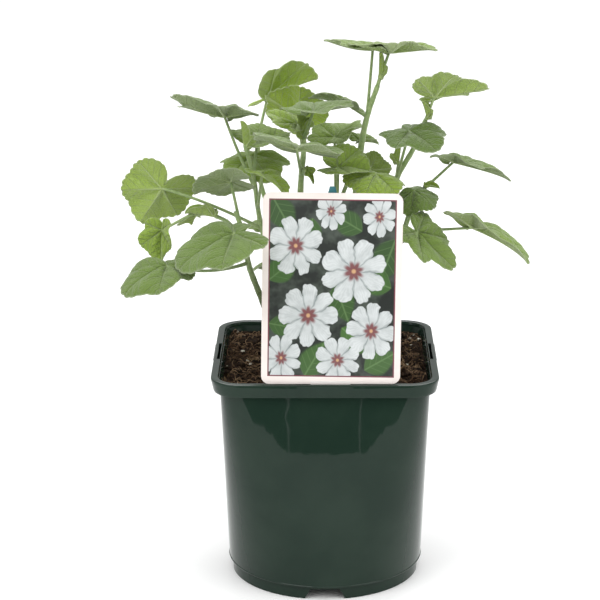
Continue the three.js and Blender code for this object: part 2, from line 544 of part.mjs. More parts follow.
// The leafy stems. Each has stalks, as points with a radius, first the one that stands in the
// mix, and leaves. Places come from how the plant stands in its pot.
const LEAFY_STEMS = {
  stem_left_front: {
    stalks: [
      [[-24, -12, STEM_FOOT, 2.2], [-24, -12, 136, 2.2], [-39, -20, 183, 2], [-46, -27, 205, 1.8],
        [-48, -30, 215, 1.7], [-51, -32, 232, 1.6], [-54, -33, 243, 1.5]],
      [[-49, -31, 222, 1], [-58, -20, 232, 1], [-67, -12, 235, 0.9], [-79, -13, 238, 0.9]],
    ],
    leaves: [
      leaf('kidney', [-48, -30, 209], [-94, -64, 217], [-120, -78, 202], -4,
        { fold: -7, bend: 38, sag: -8 }),
      leaf('kidney', [-51, -32, 233], [-54, -65, 237], [-88, -80, 219], -7, { fold: -6, bend: 24 }),
      leaf('round', [-51, -32, 232], [-57, -31, 261], [-81, -30, 255], 34, { fold: 2, bend: 13 }),
      leaf('kidney', [-79, -13, 238], [-99, -36, 232], [-100, -41, 213], 20, { fold: 30, bend: -5 }),
      leaf('young', [-72, -12, 236], [-79, -13, 236], [-92, -16, 229], 40),
      leaf('young', [-60, -18, 233], [-68, -17, 236], [-87, -19, 240], 10, { fold: 55 }),
    ],
  },
  stem_left: {
    stalks: [
      [[-14, -1, STEM_FOOT, 2.2], [-14, -1, 136, 2.2], [-30, -5, 190, 2], [-40, -8, 230, 1.8],
        [-44, -12, 260, 1.6], [-49, -13, 280, 1.2]],
    ],
    leaves: [
      leaf('round', [-38, -8, 226], [-100, -14, 253], [-115, -8, 230], 56, { fold: 15, bend: -6, sag: 4 }),
      leaf('maple', [-42, -10, 252], [-62, 5, 294], [-94, -13, 312], 12, { fold: 8, bend: -27, sag: -4 }),
      leaf('round', [-44, -12, 259], [-42, 4, 279], [-22, 16, 282], 7, { fold: 11, bend: -12 }),
      leaf('heart', [-41, -9, 236], [-46, 14, 267], [-33, -12, 257], 7, { fold: -9, bend: 20 }),
      leaf('maple', [-42, -9, 240], [-38, -33, 266], [-22, -44, 256], -12, { fold: 8, bend: 27 }),
      leaf('young', [-48, -13, 276], [-49, -13, 278], [-52, -14, 296], 20, { fold: 60 }),
    ],
  },
  stem_centre_left: {
    stalks: [
      [[-10, 14, STEM_FOOT, 2.2], [-10, 14, 136, 2.2], [-26, 30, 200, 1.9], [-42, 50, 245, 1.6],
        [-43, 60, 272, 1.2]],
    ],
    leaves: [
      leaf('fan', [-43, 60, 270], [-37, 62, 295], [-4, 78, 306], -34, { fold: 15, curl: 8, bend: 2 }),
      leaf('maple', [-25, 30, 196], [-34, 50, 214], [-44, 76, 204], 0, { bend: 30 }),
    ],
  },
  stem_centre: {
    stalks: [
      [[-5, -8, STEM_FOOT, 2.6], [-5, -8, 136, 2.6], [-14, -13, 200, 2.2], [-15, -15, 252, 2],
        [-13, -20, 278, 1.8], [-13, -20, 289, 1.4]],
    ],
    leaves: [
      leaf('round', [-14, -17, 262], [-17, -40, 283], [-15, -72, 293], -12, { fold: 6, bend: -2 }),
      leaf('round', [-13, -20, 286], [-7, -31, 304], [15, -15, 308], -6, { fold: 7, bend: -17 }),
      leaf('maple', [-13, -20, 286], [-17, -11, 292], [-36, -3, 300], -5, { fold: 2, bend: -12 }),
      leaf('young', [-13, -20, 284], [-14, -17, 288], [-17, -18, 303], 0, { fold: 60 }),
      leaf('young', [-13, -20, 280], [-12, -20, 284], [-8, -20, 299], 0, { fold: 60 }),
      leaf('young', [-15, -16, 262], [-12, -25, 268], [-7, -28, 258], 10, { fold: 30 }),
      leaf('round', [-13, -19, 275], [-17, 46, 285], [-37, 43, 302], 49, { fold: 15, bend: -5 }),
    ],
  },
  stem_centre_right: {
    stalks: [
      [[4, 4, STEM_FOOT, 2.2], [4, 4, 136, 2.2], [6, -6, 200, 1.9], [8, -14, 240, 1.6],
        [14, -17, 258, 1.2]],
    ],
    leaves: [
      leaf('round', [8, -12, 236], [8, -23, 268], [28, -28, 268], 23, { fold: 23, sag: -6 }),
      leaf('round', [13, -17, 256], [31, -25, 264], [24, -44, 254], -9, { fold: -9, bend: 42 }),
      leaf('heart', [7, -10, 232], [6, 24, 277], [19, 46, 282], -6, { fold: 14, bend: 6 }),
    ],
  },
  stem_right_tall: {
    stalks: [
      [[10, 15, STEM_FOOT, 2.6], [10, 15, 136, 2.6], [16, 6, 210, 2.3], [22, -3, 275, 2],
        [26, -6, 297, 1.8], [32, -10, 316, 1.5]],
    ],
    leaves: [
      leaf('maple', [26, -6, 296], [29, -4, 337], [-1, 4, 344], 8, { fold: 6, bend: -31 }),
      leaf('maple', [32, -10, 315], [39, -6, 336], [43, -47, 350], -3, { fold: 8, bend: -27 }),
      leaf('young', [31, -9, 312], [33, -11, 321], [33, -12, 338], -30, { fold: 75 }),
      leaf('arrow', [26, -6, 296], [15, 3, 301], [-11, 14, 305], 25, { fold: 6, bend: 14 }),
      leaf('maple', [21, 1, 262], [22, 44, 270], [35, 51, 268], 6, { fold: 24, bend: 11 }),
      leaf('round', [20, 1, 262], [28, 14, 259], [42, 10, 261], -61, { fold: 15, bend: -23 }),
    ],
  },
  stem_right: {
    stalks: [
      [[14, -14, STEM_FOOT, 2.2], [14, -14, 136, 2.2], [30, -9, 210, 2], [44, -3, 256, 1.8],
        [54, -11, 277, 1.6], [61, -17, 296, 1.4]],
    ],
    leaves: [
      leaf('maple', [60, -19, 294], [66, -20, 311], [100, -25, 318], -31, { fold: 18, bend: -6 }),
      leaf('young', [61, -19, 295], [62, -20, 298], [59, -20, 310], 0, { fold: 50 }),
      leaf('heart', [44, -3, 256], [51, -26, 291], [67, -48, 284], 8, { fold: -3, bend: 13 }),
      leaf('young', [44, -3, 256], [45, -7, 267], [47, -10, 281], 0, { fold: 58 }),
    ],
  },
  stem_right_low: {
    stalks: [
      [[22, 2, STEM_FOOT, 2.2], [22, 2, 136, 2.2], [38, 0, 190, 1.9], [50, -2, 226, 1.6],
        [58, 3, 246, 1.3]],
    ],
    leaves: [
      leaf('maple', [58, 3, 245], [80, 7, 265], [117, -4, 256], -14, { fold: 7, bend: 5 }),
      leaf('young', [57, 2, 242], [62, 0, 251], [72, -2, 251], 20, { fold: 30 }),
      leaf('maple', [46, -1, 214], [56, -33, 230], [80, -42, 209], 12, { fold: 4, bend: -10 }),
      leaf('maple', [49, -2, 222], [92, -6, 226], [126, -30, 209], -24, { fold: 11, bend: 19 }),
      leaf('round', [48, -2, 220], [55, -12, 251], [67, -23, 242], 20, { fold: -28, bend: 29 }),
    ],
  },
  stem_back_left: {
    stalks: [
      [[-8, 28, STEM_FOOT, 2.2], [-8, 28, 136, 2.2], [-12, 40, 170, 1.9], [-16, 46, 200, 1.4]],
    ],
    leaves: [
      leaf('round', [-12, 41, 172], [-24, 62, 186], [-40, 80, 176], 0, { bend: 30 }),
      leaf('maple', [-15, 45, 196], [-15, 62, 207], [-12, 94, 197], 0, { bend: 25 }),
    ],
  },
  stem_back_right: {
    stalks: [
      [[8, 29, STEM_FOOT, 2.2], [8, 29, 136, 2.2], [14, 38, 176, 1.9], [20, 42, 206, 1.4]],
    ],
    leaves: [
      leaf('round', [14, 38, 174], [28, 56, 184], [34, 78, 174], 0, { bend: 30 }),
      leaf('maple', [18, 41, 196], [18, 56, 210], [24, 82, 202], 0, { bend: 25 }),
      leaf('young', [20, 42, 204], [21, 42, 207], [24, 41, 222], 0, { fold: 55 }),
    ],
  },
};

function leafyStem(name, { stalks, leaves }) {
  const curves = stalks.map(stemCurve);
  const solids = stalks.map(stemSolid);
  for (const one of leaves) solids.push(petioleSolid(one, curves), bladeSolid(one));
  const bodies = joined(solids).decompose();
  const whole = bodies.reduce((best, body) => (body.volume() > best.volume() ? body : best));
  return named(name, whole, LEAF_GREEN);
}

const plant = new THREE.Group();
const stemNames = Object.keys(LEAFY_STEMS);
const stemHoles = stemNames.map((name) => stemHole(LEAFY_STEMS[name].stalks[0][0]));
plant.add(named('pot', potSolid(), POT_PLASTIC));
plant.add(named('soil', soilSolid([...stemHoles, stakeHole()]), POTTING_MIX));
plant.add(named('plant_label', labelSolid(), LABEL_CARD));
plant.add(named('plant_stake', stakeSolid(), STAKE_PLASTIC));
for (const name of stemNames) plant.add(leafyStem(name, LEAFY_STEMS[name]));

export default plant;
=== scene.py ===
"""Looks of the potted tree mallow: the pot, its mix, the leafy stems, the picture label, the stake
and the stage. Lengths in the tables are in millimetres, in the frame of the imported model; every
mesh is scaled to metres when it is finished."""

import math
import random

import bmesh
import bpy
import numpy as np
from bpy.props import FloatProperty, FloatVectorProperty, IntProperty, PointerProperty
from mathutils import Matrix, Vector, noise


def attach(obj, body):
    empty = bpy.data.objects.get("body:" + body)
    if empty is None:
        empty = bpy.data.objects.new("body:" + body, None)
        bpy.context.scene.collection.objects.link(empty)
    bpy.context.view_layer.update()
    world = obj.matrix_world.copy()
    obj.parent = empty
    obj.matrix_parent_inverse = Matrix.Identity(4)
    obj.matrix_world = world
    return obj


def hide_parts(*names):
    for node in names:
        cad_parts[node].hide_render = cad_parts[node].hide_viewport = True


bl_info = {
    "name": "Potted tree mallow",
    "version": (1, 0, 0),
    "blender": (4, 5, 0),
    "location": "3D View > Sidebar > Tree mallow",
    "description": "Builds the looks of a young tree mallow in its nursery pot",
    "category": "Object",
}

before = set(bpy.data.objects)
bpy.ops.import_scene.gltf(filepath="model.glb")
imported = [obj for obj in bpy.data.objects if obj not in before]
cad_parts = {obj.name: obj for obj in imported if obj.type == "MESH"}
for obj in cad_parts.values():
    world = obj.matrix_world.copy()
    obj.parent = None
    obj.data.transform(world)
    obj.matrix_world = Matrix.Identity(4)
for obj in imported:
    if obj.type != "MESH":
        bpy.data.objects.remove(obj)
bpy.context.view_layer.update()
MM = 0.001
BODY = "root"


# Leaf forms: the same lobes as in the solids, with finer teeth along the edge
FORMS = {
    "round": dict(lobes=[(0, 1), (54, 0.94), (110, 0.84)], fall=0.55, power=2, tooth=0.07),
    "maple": dict(lobes=[(0, 1), (50, 0.8), (108, 0.66)], fall=0.8, power=1.35, tooth=0.08),
    "heart": dict(lobes=[(0, 1), (58, 0.82), (122, 0.68)], fall=0.6, power=1.7, tooth=0.05),
    "kidney": dict(lobes=[(0, 1), (50, 0.84), (112, 0.6)], fall=0.6, power=1.9, tooth=0.05),
    "arrow": dict(lobes=[(0, 1), (48, 0.62), (112, 0.68)], fall=0.8, power=1.3, tooth=0.07),
    "fan": dict(lobes=[(0, 1), (42, 0.94), (80, 0.76)], fall=0.8, power=2, tooth=0.07),
    "young": dict(lobes=[(0, 1), (46, 0.6), (95, 0.3)], fall=0.95, power=1.2, tooth=0.09),
}
LOBE_BLEND = 14
SINUS_REACH = 0.07
PETIOLE_RADIUS = 0.9
TOOTH_DEPTH = 0.045
TOOTH_DEPTHS = {"young": 0.08, "heart": 0.025, "kidney": 0.025, "fan": 0.025}

# Side veins in one leaf's length and how far they lean, for the relief and the material alike
SIDE_VEINS = 5.5
VEIN_SLANT = 0.8

# Height under which a stalk turns darker, in millimetres
STALK_DARKER_BELOW = 225

# The pot: height of the rim's band and how far it widens upwards, top of the foot ring, radius of
# the foot ring and of the wall over it, the wall's half width and corner under the rim, the rim's
# corner, and how far its slots lie from its edge
BAND = 8.5
FLARE = 1.6
FOOT_TOP = 8.3
FOOT_RADIUS = 60.2
BASE_RADIUS = 62
WALL_HALF = 64.4
WALL_CORNER = 14
RIM_CORNER = 19
SLOT_INSET = 3.1
CORNER_STEPS = 20

# A whole turn in radians, to two decimals, for random headings
ANY_TURN = 6.28

# How far the label's foot stands beside the middle of its slot
LABEL_ASIDE = 3.3


def leaf(form, start, at, tip, roll, glow=0.2, shade=0.1, **shape):
    """One leaf: its form, the petiole's start, the petiole's end on the blade, the tip, the roll
    about the rib, how much painted light shines through it, how much painted shade darkens it,
    and its bends."""
    row = dict(fold=0, curl=0, bend=0, wave=1, sag=0)
    row.update(shape, form=form, start=start, at=at, tip=tip, roll=roll, glow=glow, shade=shade)
    return row


# The leafy stems: stalks as points with a radius, and leaves, as in the solids
# Each leaf's glow is painted light shining through it, and its shade is painted shade
LEAFY_STEMS = {
    "stem_left_front": dict(
        stalks=[
            [(-24, -12, 118, 2.2), (-24, -12, 136, 2.2), (-39, -20, 183, 2), (-46, -27, 205, 1.8),
             (-48, -30, 215, 1.7), (-51, -32, 232, 1.6), (-54, -33, 243, 1.5)],
            [(-49, -31, 222, 1), (-58, -20, 232, 1), (-67, -12, 235, 0.9), (-79, -13, 238, 0.9)],
        ],
        leaves=[
            leaf("kidney", (-48, -30, 209), (-94, -64, 217), (-120, -78, 202), -4, 0.15,
                 0.3, fold=-7, bend=38, sag=-8),
            leaf("kidney", (-51, -32, 233), (-54, -65, 237), (-88, -80, 219), -7, 0.1,
                 0.15, fold=-6, bend=24),
            leaf("round", (-51, -32, 232), (-57, -31, 261), (-81, -30, 255), 34, 0.15,
                 0.3, fold=2, bend=13),
            leaf("kidney", (-79, -13, 238), (-99, -36, 232), (-100, -41, 213), 20, 0.55,
                 0, fold=30, bend=-5),
            leaf("young", (-72, -12, 236), (-79, -13, 236), (-92, -16, 229), 40, 0.6, 0),
            leaf("young", (-60, -18, 233), (-68, -17, 236), (-87, -19, 240), 10, 0.5, 0, fold=55),
        ],
    ),
    "stem_left": dict(
        stalks=[
            [(-14, -1, 118, 2.2), (-14, -1, 136, 2.2), (-30, -5, 190, 2), (-40, -8, 230, 1.8),
             (-44, -12, 260, 1.6), (-49, -13, 280, 1.2)],
        ],
        leaves=[
            leaf("round", (-38, -8, 226), (-100, -14, 253), (-115, -8, 230), 56, 0.7,
                 0, fold=15, bend=-6, sag=4),
            leaf("maple", (-42, -10, 252), (-62, 5, 294), (-94, -13, 312), 12, 0.1,
                 0.25, fold=8, bend=-27, sag=-4),
            leaf("round", (-44, -12, 259), (-42, 4, 279), (-22, 16, 282), 7, 0.3,
                 0.2, fold=11, bend=-12),
            leaf("heart", (-41, -9, 236), (-46, 14, 267), (-33, -12, 257), 7, 0.5,
                 0, fold=-9, bend=20),
            leaf("maple", (-42, -9, 240), (-38, -33, 266), (-22, -44, 256), -12, 0.65,
                 0, fold=8, bend=27),
            leaf("young", (-48, -13, 276), (-49, -13, 278), (-52, -14, 296), 20, 0.6, 0, fold=60),
        ],
    ),
    "stem_centre_left": dict(
        stalks=[
            [(-10, 14, 118, 2.2), (-10, 14, 136, 2.2), (-26, 30, 200, 1.9), (-42, 50, 245, 1.6),
             (-43, 60, 272, 1.2)],
        ],
        leaves=[
            leaf("fan", (-43, 60, 270), (-37, 62, 295), (-4, 78, 306), -34, 1,
                 0, fold=15, curl=8, bend=2),
            leaf("maple", (-25, 30, 196), (-34, 50, 214), (-44, 76, 204), 0, 0.3, 0.3, bend=30),
        ],
    ),
    "stem_centre": dict(
        stalks=[
            [(-5, -8, 118, 2.6), (-5, -8, 136, 2.6), (-14, -13, 200, 2.2), (-15, -15, 252, 2),
             (-13, -20, 278, 1.8), (-13, -20, 289, 1.4)],
        ],
        leaves=[
            leaf("round", (-14, -17, 262), (-17, -40, 283), (-15, -72, 293), -12, 0.1,
                 0.05, fold=6, bend=-2),
            leaf("round", (-13, -20, 286), (-7, -31, 304), (15, -15, 308), -6, 0.1,
                 0.1, fold=7, bend=-17),
            leaf("maple", (-13, -20, 286), (-17, -11, 292), (-36, -3, 300), -5, 0.6,
                 0, fold=2, bend=-12),
            leaf("young", (-13, -20, 284), (-14, -17, 288), (-17, -18, 303), 0, 0.7, 0, fold=60),
            leaf("young", (-13, -20, 280), (-12, -20, 284), (-8, -20, 299), 0, 0.7, 0, fold=60),
            leaf("young", (-15, -16, 262), (-12, -25, 268), (-7, -28, 258), 10, 0.6, 0, fold=30),
            leaf("round", (-13, -19, 275), (-17, 46, 285), (-37, 43, 302), 49, 1,
                 0.05, fold=15, bend=-5),
        ],
    ),
    "stem_centre_right": dict(
        stalks=[
            [(4, 4, 118, 2.2), (4, 4, 136, 2.2), (6, -6, 200, 1.9), (8, -14, 240, 1.6),
             (14, -17, 258, 1.2)],
        ],
        leaves=[
            leaf("round", (8, -12, 236), (8, -23, 268), (28, -28, 268), 23, 0.45,
                 0.08, fold=23, sag=-6),
            leaf("round", (13, -17, 256), (31, -25, 264), (24, -44, 254), -9, 0.7,
                 0, fold=-9, bend=42),
            leaf("heart", (7, -10, 232), (6, 24, 277), (19, 46, 282), -6, 0.3,
                 0.4, fold=14, bend=6),
        ],
    ),
    "stem_right_tall": dict(
        stalks=[
            [(10, 15, 118, 2.6), (10, 15, 136, 2.6), (16, 6, 210, 2.3), (22, -3, 275, 2),
             (26, -6, 297, 1.8), (32, -10, 316, 1.5)],
        ],
        leaves=[
            leaf("maple", (26, -6, 296), (29, -4, 337), (-1, 4, 344), 8, 0.3,
                 0, fold=6, bend=-31),
            leaf("maple", (32, -10, 315), (39, -6, 336), (43, -47, 350), -3, 0.4,
                 0.05, fold=8, bend=-27),
            leaf("young", (31, -9, 312), (33, -11, 321), (33, -12, 338), -30, 0.8, 0, fold=75),
            leaf("arrow", (26, -6, 296), (15, 3, 301), (-11, 14, 305), 25, 0.2,
                 0.4, fold=6, bend=14),
            leaf("maple", (21, 1, 262), (22, 44, 270), (35, 51, 268), 6, 0.2,
                 0.3, fold=24, bend=11),
            leaf("round", (20, 1, 262), (28, 14, 259), (42, 10, 261), -61, 0.6,
                 0.1, fold=15, bend=-23),
        ],
    ),
    "stem_right": dict(
        stalks=[
            [(14, -14, 118, 2.2), (14, -14, 136, 2.2), (30, -9, 210, 2), (44, -3, 256, 1.8),
             (54, -11, 277, 1.6), (61, -17, 296, 1.4)],
        ],
        leaves=[
            leaf("maple", (60, -19, 294), (66, -20, 311), (100, -25, 318), -31, 0.65,
                 0, fold=18, bend=-6),
            leaf("young", (61, -19, 295), (62, -20, 298), (59, -20, 310), 0, 0.6, 0, fold=50),
            leaf("heart", (44, -3, 256), (51, -26, 291), (67, -48, 284), 8, 0.1,
                 0.65, fold=-3, bend=13),
            leaf("young", (44, -3, 256), (45, -7, 267), (47, -10, 281), 0, 0.8, 0, fold=58),
        ],
    ),
    "stem_right_low": dict(
        stalks=[
            [(22, 2, 118, 2.2), (22, 2, 136, 2.2), (38, 0, 190, 1.9), (50, -2, 226, 1.6),
             (58, 3, 246, 1.3)],
        ],
        leaves=[
            leaf("maple", (58, 3, 245), (80, 7, 265), (117, -4, 256), -14, 0.15,
                 0.25, fold=7, bend=5),
            leaf("young", (57, 2, 242), (62, 0, 251), (72, -2, 251), 20, 0.7, 0, fold=30),
            leaf("maple", (46, -1, 214), (56, -33, 230), (80, -42, 209), 12, 0.15,
                 0.05, fold=4, bend=-10),
            leaf("maple", (49, -2, 222), (92, -6, 226), (126, -30, 209), -24, 0.35,
                 0.15, fold=11, bend=19),
            leaf("round", (48, -2, 220), (55, -12, 251), (67, -23, 242), 20, 0.1,
                 0.35, fold=-28, bend=29),
        ],
    ),
    "stem_back_left": dict(
        stalks=[
            [(-8, 28, 118, 2.2), (-8, 28, 136, 2.2), (-12, 40, 170, 1.9), (-16, 46, 200, 1.4)],
        ],
        leaves=[
            leaf("round", (-12, 41, 172), (-24, 62, 186), (-40, 80, 176), 0, 0.2, 0.2, bend=30),
            leaf("maple", (-15, 45, 196), (-15, 62, 207), (-12, 94, 197), 0, 0.2, 0.2, bend=25),
        ],
    ),
    "stem_back_right": dict(
        stalks=[
            [(8, 29, 118, 2.2), (8, 29, 136, 2.2), (14, 38, 176, 1.9), (20, 42, 206, 1.4)],
        ],
        leaves=[
            leaf("round", (14, 38, 174), (28, 56, 184), (34, 78, 174), 0, 0.2, 0.2, bend=30),
            leaf("maple", (18, 41, 196), (18, 56, 210), (24, 82, 202), 0, 0.2, 0.2, bend=25),
            leaf("young", (20, 42, 204), (21, 42, 207), (24, 41, 222), 0, 0.6, 0, fold=55),
        ],
    ),
}


class MallowPotSettings(bpy.types.PropertyGroup):
    """Sizes and colour of the pot"""

    height: FloatProperty(name="Pot height", description="Height to the rim", default=0.144,
                          unit="LENGTH")
    rim_width: FloatProperty(name="Rim width", description="Width across the square rim",
                             default=0.140, unit="LENGTH")
    wall: FloatProperty(name="Wall", description="Thickness of the wall", default=0.0016,
                        unit="LENGTH")
    colour: FloatVectorProperty(name="Pot colour", description="Colour of the plastic",
                                subtype="COLOR", size=3, default=(0.012, 0.026, 0.018))


class MallowMixSettings(bpy.types.PropertyGroup):
    """The potting mix"""

    depth: FloatProperty(name="Depth below the rim", description="From the rim down to the mix",
                         default=0.005, unit="LENGTH")
    crumbs: IntProperty(name="Crumbs", description="How many loose crumbs lie on the mix",
                        default=1300)
    fibres: IntProperty(name="Fibres", description="How many fibres lie on the mix", default=1500)
    colour: FloatVectorProperty(name="Mix colour", description="Colour of the moist mix",
                                subtype="COLOR", size=3, default=(0.010, 0.006, 0.004))


class MallowLeafSettings(bpy.types.PropertyGroup):
    """Fineness, thickness and colours of the leaves"""

    thickness: FloatProperty(name="Blade thickness", description="Thickness of a blade",
                             default=0.0005, unit="LENGTH")
    teeth: IntProperty(name="Teeth", description="Teeth round the edge of a full-grown leaf",
                       default=34)
    columns: IntProperty(name="Columns", description="Mesh columns round half a blade", default=104)
    rings: IntProperty(name="Rings", description="Mesh rings from the petiole to the edge",
                       default=24)
    top: FloatVectorProperty(name="Upper face", description="Colour of the upper face",
                             subtype="COLOR", size=3, default=(0.105, 0.175, 0.025))
    # Painted shade: the colour that shaded leaves are darkened towards
    painted_shade_colour: FloatVectorProperty(name="Shaded", description="Colour of the darkest leaves",
                              subtype="COLOR", size=3, default=(0.042, 0.088, 0.011))
    # Painted light shining through: the colour that leaves with light behind them are brightened
    # towards
    light: FloatVectorProperty(name="Shone through", description="Colour with light behind it",
                               subtype="COLOR", size=3, default=(0.31, 0.45, 0.03))
    under: FloatVectorProperty(name="Underside", description="Colour of the hairy underside",
                               subtype="COLOR", size=3, default=(0.235, 0.305, 0.14))
    stalk: FloatVectorProperty(name="Stalks", description="Colour of stems and petioles",
                               subtype="COLOR", size=3, default=(0.33, 0.42, 0.18))


class MallowLabelSettings(bpy.types.PropertyGroup):
    """The picture label"""

    width: FloatProperty(name="Width", description="Width of the card", default=0.084,
                         unit="LENGTH")
    height: FloatProperty(name="Height", description="Height of the card", default=0.115,
                          unit="LENGTH")
    lean: FloatProperty(name="Lean", description="How far the card leans back",
                        default=math.radians(9), subtype="ANGLE")
    tilt: FloatProperty(name="Tilt", description="How far the card stands askew",
                        default=math.radians(0.8), subtype="ANGLE")
    border: FloatProperty(name="Border", description="Plain margin round the picture",
                          default=0.0038, unit="LENGTH")
    petals: FloatVectorProperty(name="Petals", description="Colour of the printed petals",
                                subtype="COLOR", size=3, default=(0.60, 0.63, 0.63))


class MallowStageSettings(bpy.types.PropertyGroup):
    """Camera and light"""

    focal_length: FloatProperty(name="Focal length", description="Lens in millimetres",
                                default=129.78)
    pitch: FloatProperty(name="Pitch", description="How far the camera looks down",
                         default=math.radians(16), subtype="ANGLE")
    key: FloatProperty(name="Key light", description="Power of the main light in watts",
                       default=10)
    sky: FloatProperty(name="Overhead", description="Brightness of the surroundings overhead",
                       default=1.5)
    horizon: FloatProperty(name="Horizon", description="Brightness of the surroundings at the side",
                           default=0.4)


class Shader:
    """A material's node tree, with short ways to add and link its nodes"""

    def __init__(self, name):
        self.material = bpy.data.materials.new(name)
        self.material.use_nodes = True
        self.tree = self.material.node_tree
        self.bsdf = self.tree.nodes["Principled BSDF"]

    def node(self, kind, inputs=(), **settings):
        """A new node with its settings, and a value or a link for each input named"""
        made = self.tree.nodes.new("ShaderNode" + kind)
        for key, value in settings.items():
            setattr(made, key, value)
        for key, value in dict(inputs).items():
            self.feed(made.inputs[key], value)
        return made

    def feed(self, socket, value):
        if isinstance(value, bpy.types.NodeSocket):
            self.tree.links.new(value, socket)
        else:
            socket.default_value = value

    def surface(self, **inputs):
        """Feeds the surface shader and returns the finished material"""
        names = {"coat": "Coat Weight", "coat_roughness": "Coat Roughness",
                 "sheen": "Sheen Weight", "sheen_roughness": "Sheen Roughness",
                 "sheen_tint": "Sheen Tint", "specular": "Specular IOR Level",
                 "colour": "Base Color", "roughness": "Roughness", "normal": "Normal"}
        for key, value in inputs.items():
            self.feed(self.bsdf.inputs[names[key]], value)
        return self.material

    def math(self, operation, a, b=0.0, c=0.0, clamp=False):
        made = self.node("Math", operation=operation, use_clamp=clamp)
        for socket, value in zip(made.inputs, (a, b, c)):
            self.feed(socket, value)
        return made.outputs[0]

    def ramp(self, value, low, high, out_low=0.0, out_high=1.0, smooth=True):
        """Turns a value between low and high into one between out_low and out_high"""
        made = self.node("MapRange", interpolation_type="SMOOTHSTEP" if smooth else "LINEAR")
        for key, entry in (("Value", value), ("From Min", low), ("From Max", high),
                           ("To Min", out_low), ("To Max", out_high)):
            self.feed(made.inputs[key], entry)
        return made.outputs["Result"]

    def mix(self, share, a, b):
        """Blend of two colours, each of them a socket or three numbers"""
        made = self.node("Mix", {0: share}, data_type="RGBA")
        for socket, value in ((made.inputs[6], a), (made.inputs[7], b)):
            self.feed(socket, value if isinstance(value, bpy.types.NodeSocket) else (*value, 1.0))
        return made.outputs[2]

    def place(self):
        return self.node("TexCoord").outputs["Object"]

    def noise(self, scale, detail=3.0, roughness=0.5, vector=None):
        made = self.node("TexNoise", {"Scale": scale, "Detail": detail, "Roughness": roughness})
        self.feed(made.inputs["Vector"], vector or self.place())
        return made.outputs["Fac"]

    def cells(self, scale, feature="F1"):
        made = self.node("TexVoronoi", {"Scale": scale, "Vector": self.place()}, feature=feature)
        return made.outputs["Distance"]

    def bump(self, height, distance):
        return self.node("Bump", {"Distance": distance, "Height": height}).outputs["Normal"]


def blade_parts(shader):
    """Masks shared by both faces of a blade: the main veins, the side veins and the net between
    them, from the vein map, and the leaf's painted light shining through, its painted shade and
    its pale edge."""
    veins = shader.node("UVMap", uv_map="veins").outputs["UV"]
    split = shader.node("SeparateXYZ", {"Vector": veins})
    along, away = split.outputs[0], split.outputs[1]
    width = shader.ramp(along, 0.0, 1.0, 0.017, 0.004, smooth=False)
    main = shader.ramp(away, shader.math("MULTIPLY", width, 0.45),
                       shader.math("MULTIPLY", width, 1.5), 1.0, 0.0)
    wobble = shader.math("MULTIPLY", shader.noise(160.0, 2.0), 0.05)
    phase = shader.math("ADD", shader.math("MULTIPLY_ADD", away, -VEIN_SLANT, along), wobble)
    cycle = shader.math("PINGPONG", shader.math("MULTIPLY", phase, SIDE_VEINS), 0.5)
    side = shader.ramp(cycle, 0.0, 0.07, 1.0, 0.0)
    net = shader.ramp(shader.cells(620.0, "DISTANCE_TO_EDGE"), 0.0, 0.14, 1.0, 0.0)
    # The tones hold each leaf's painted light shining through, its painted shade and its share out
    # to the edge
    tones = shader.node("Attribute", attribute_name="tones", attribute_type="GEOMETRY")
    tone = shader.node("SeparateColor", {"Color": tones.outputs["Color"]})
    fringe = shader.ramp(tone.outputs[2], 0.955, 1.0)
    return main, side, net, tone.outputs[0], tone.outputs[1], fringe


def leaf_top_material(settings):
    """Green upper face with pale veins, a fine net and hairs at the edge"""
    shader = Shader("leaf_upper_face")
    main, side, net, glow, shade, fringe = blade_parts(shader)
    patches = shader.ramp(shader.noise(55.0, 4.0), 0.3, 0.75)
    base = shader.mix(patches, settings.top, (0.135, 0.212, 0.045))
    # Painted shade darkens the leaf, and painted light shining through brightens it
    base = shader.mix(shade, base, settings.painted_shade_colour)
    base = shader.mix(shader.math("MULTIPLY", glow, 0.85), base, settings.light)
    lighter = shader.mix(0.5, base, (0.40, 0.50, 0.20))
    pale = shader.math("MULTIPLY_ADD", side, 0.3, shader.math("MULTIPLY", net, 0.12))
    pale = shader.math("MAXIMUM", pale, shader.math("MULTIPLY", main, 0.85), clamp=True)
    base = shader.mix(pale, base, lighter)
    speck = shader.ramp(shader.noise(1500.0, 2.0), 0.5, 0.8, 0.0, 0.14)
    base = shader.mix(speck, base, (0.42, 0.48, 0.32))
    base = shader.mix(shader.math("MULTIPLY", fringe, 0.45), base, (0.50, 0.57, 0.38))
    height = shader.math("MULTIPLY_ADD", main, -0.6, shader.math("MULTIPLY", side, -0.5))
    height = shader.math("MULTIPLY_ADD", net, -0.3, height)
    height = shader.math("MULTIPLY_ADD", shader.noise(900.0, 3.0), 0.35, height)
    return shader.surface(colour=base, roughness=shader.ramp(patches, 0.0, 1.0, 0.5, 0.62),
                          normal=shader.bump(height, 0.0008), specular=0.3, sheen=0.42,
                          sheen_roughness=0.45, sheen_tint=(0.84, 0.9, 0.78, 1.0))


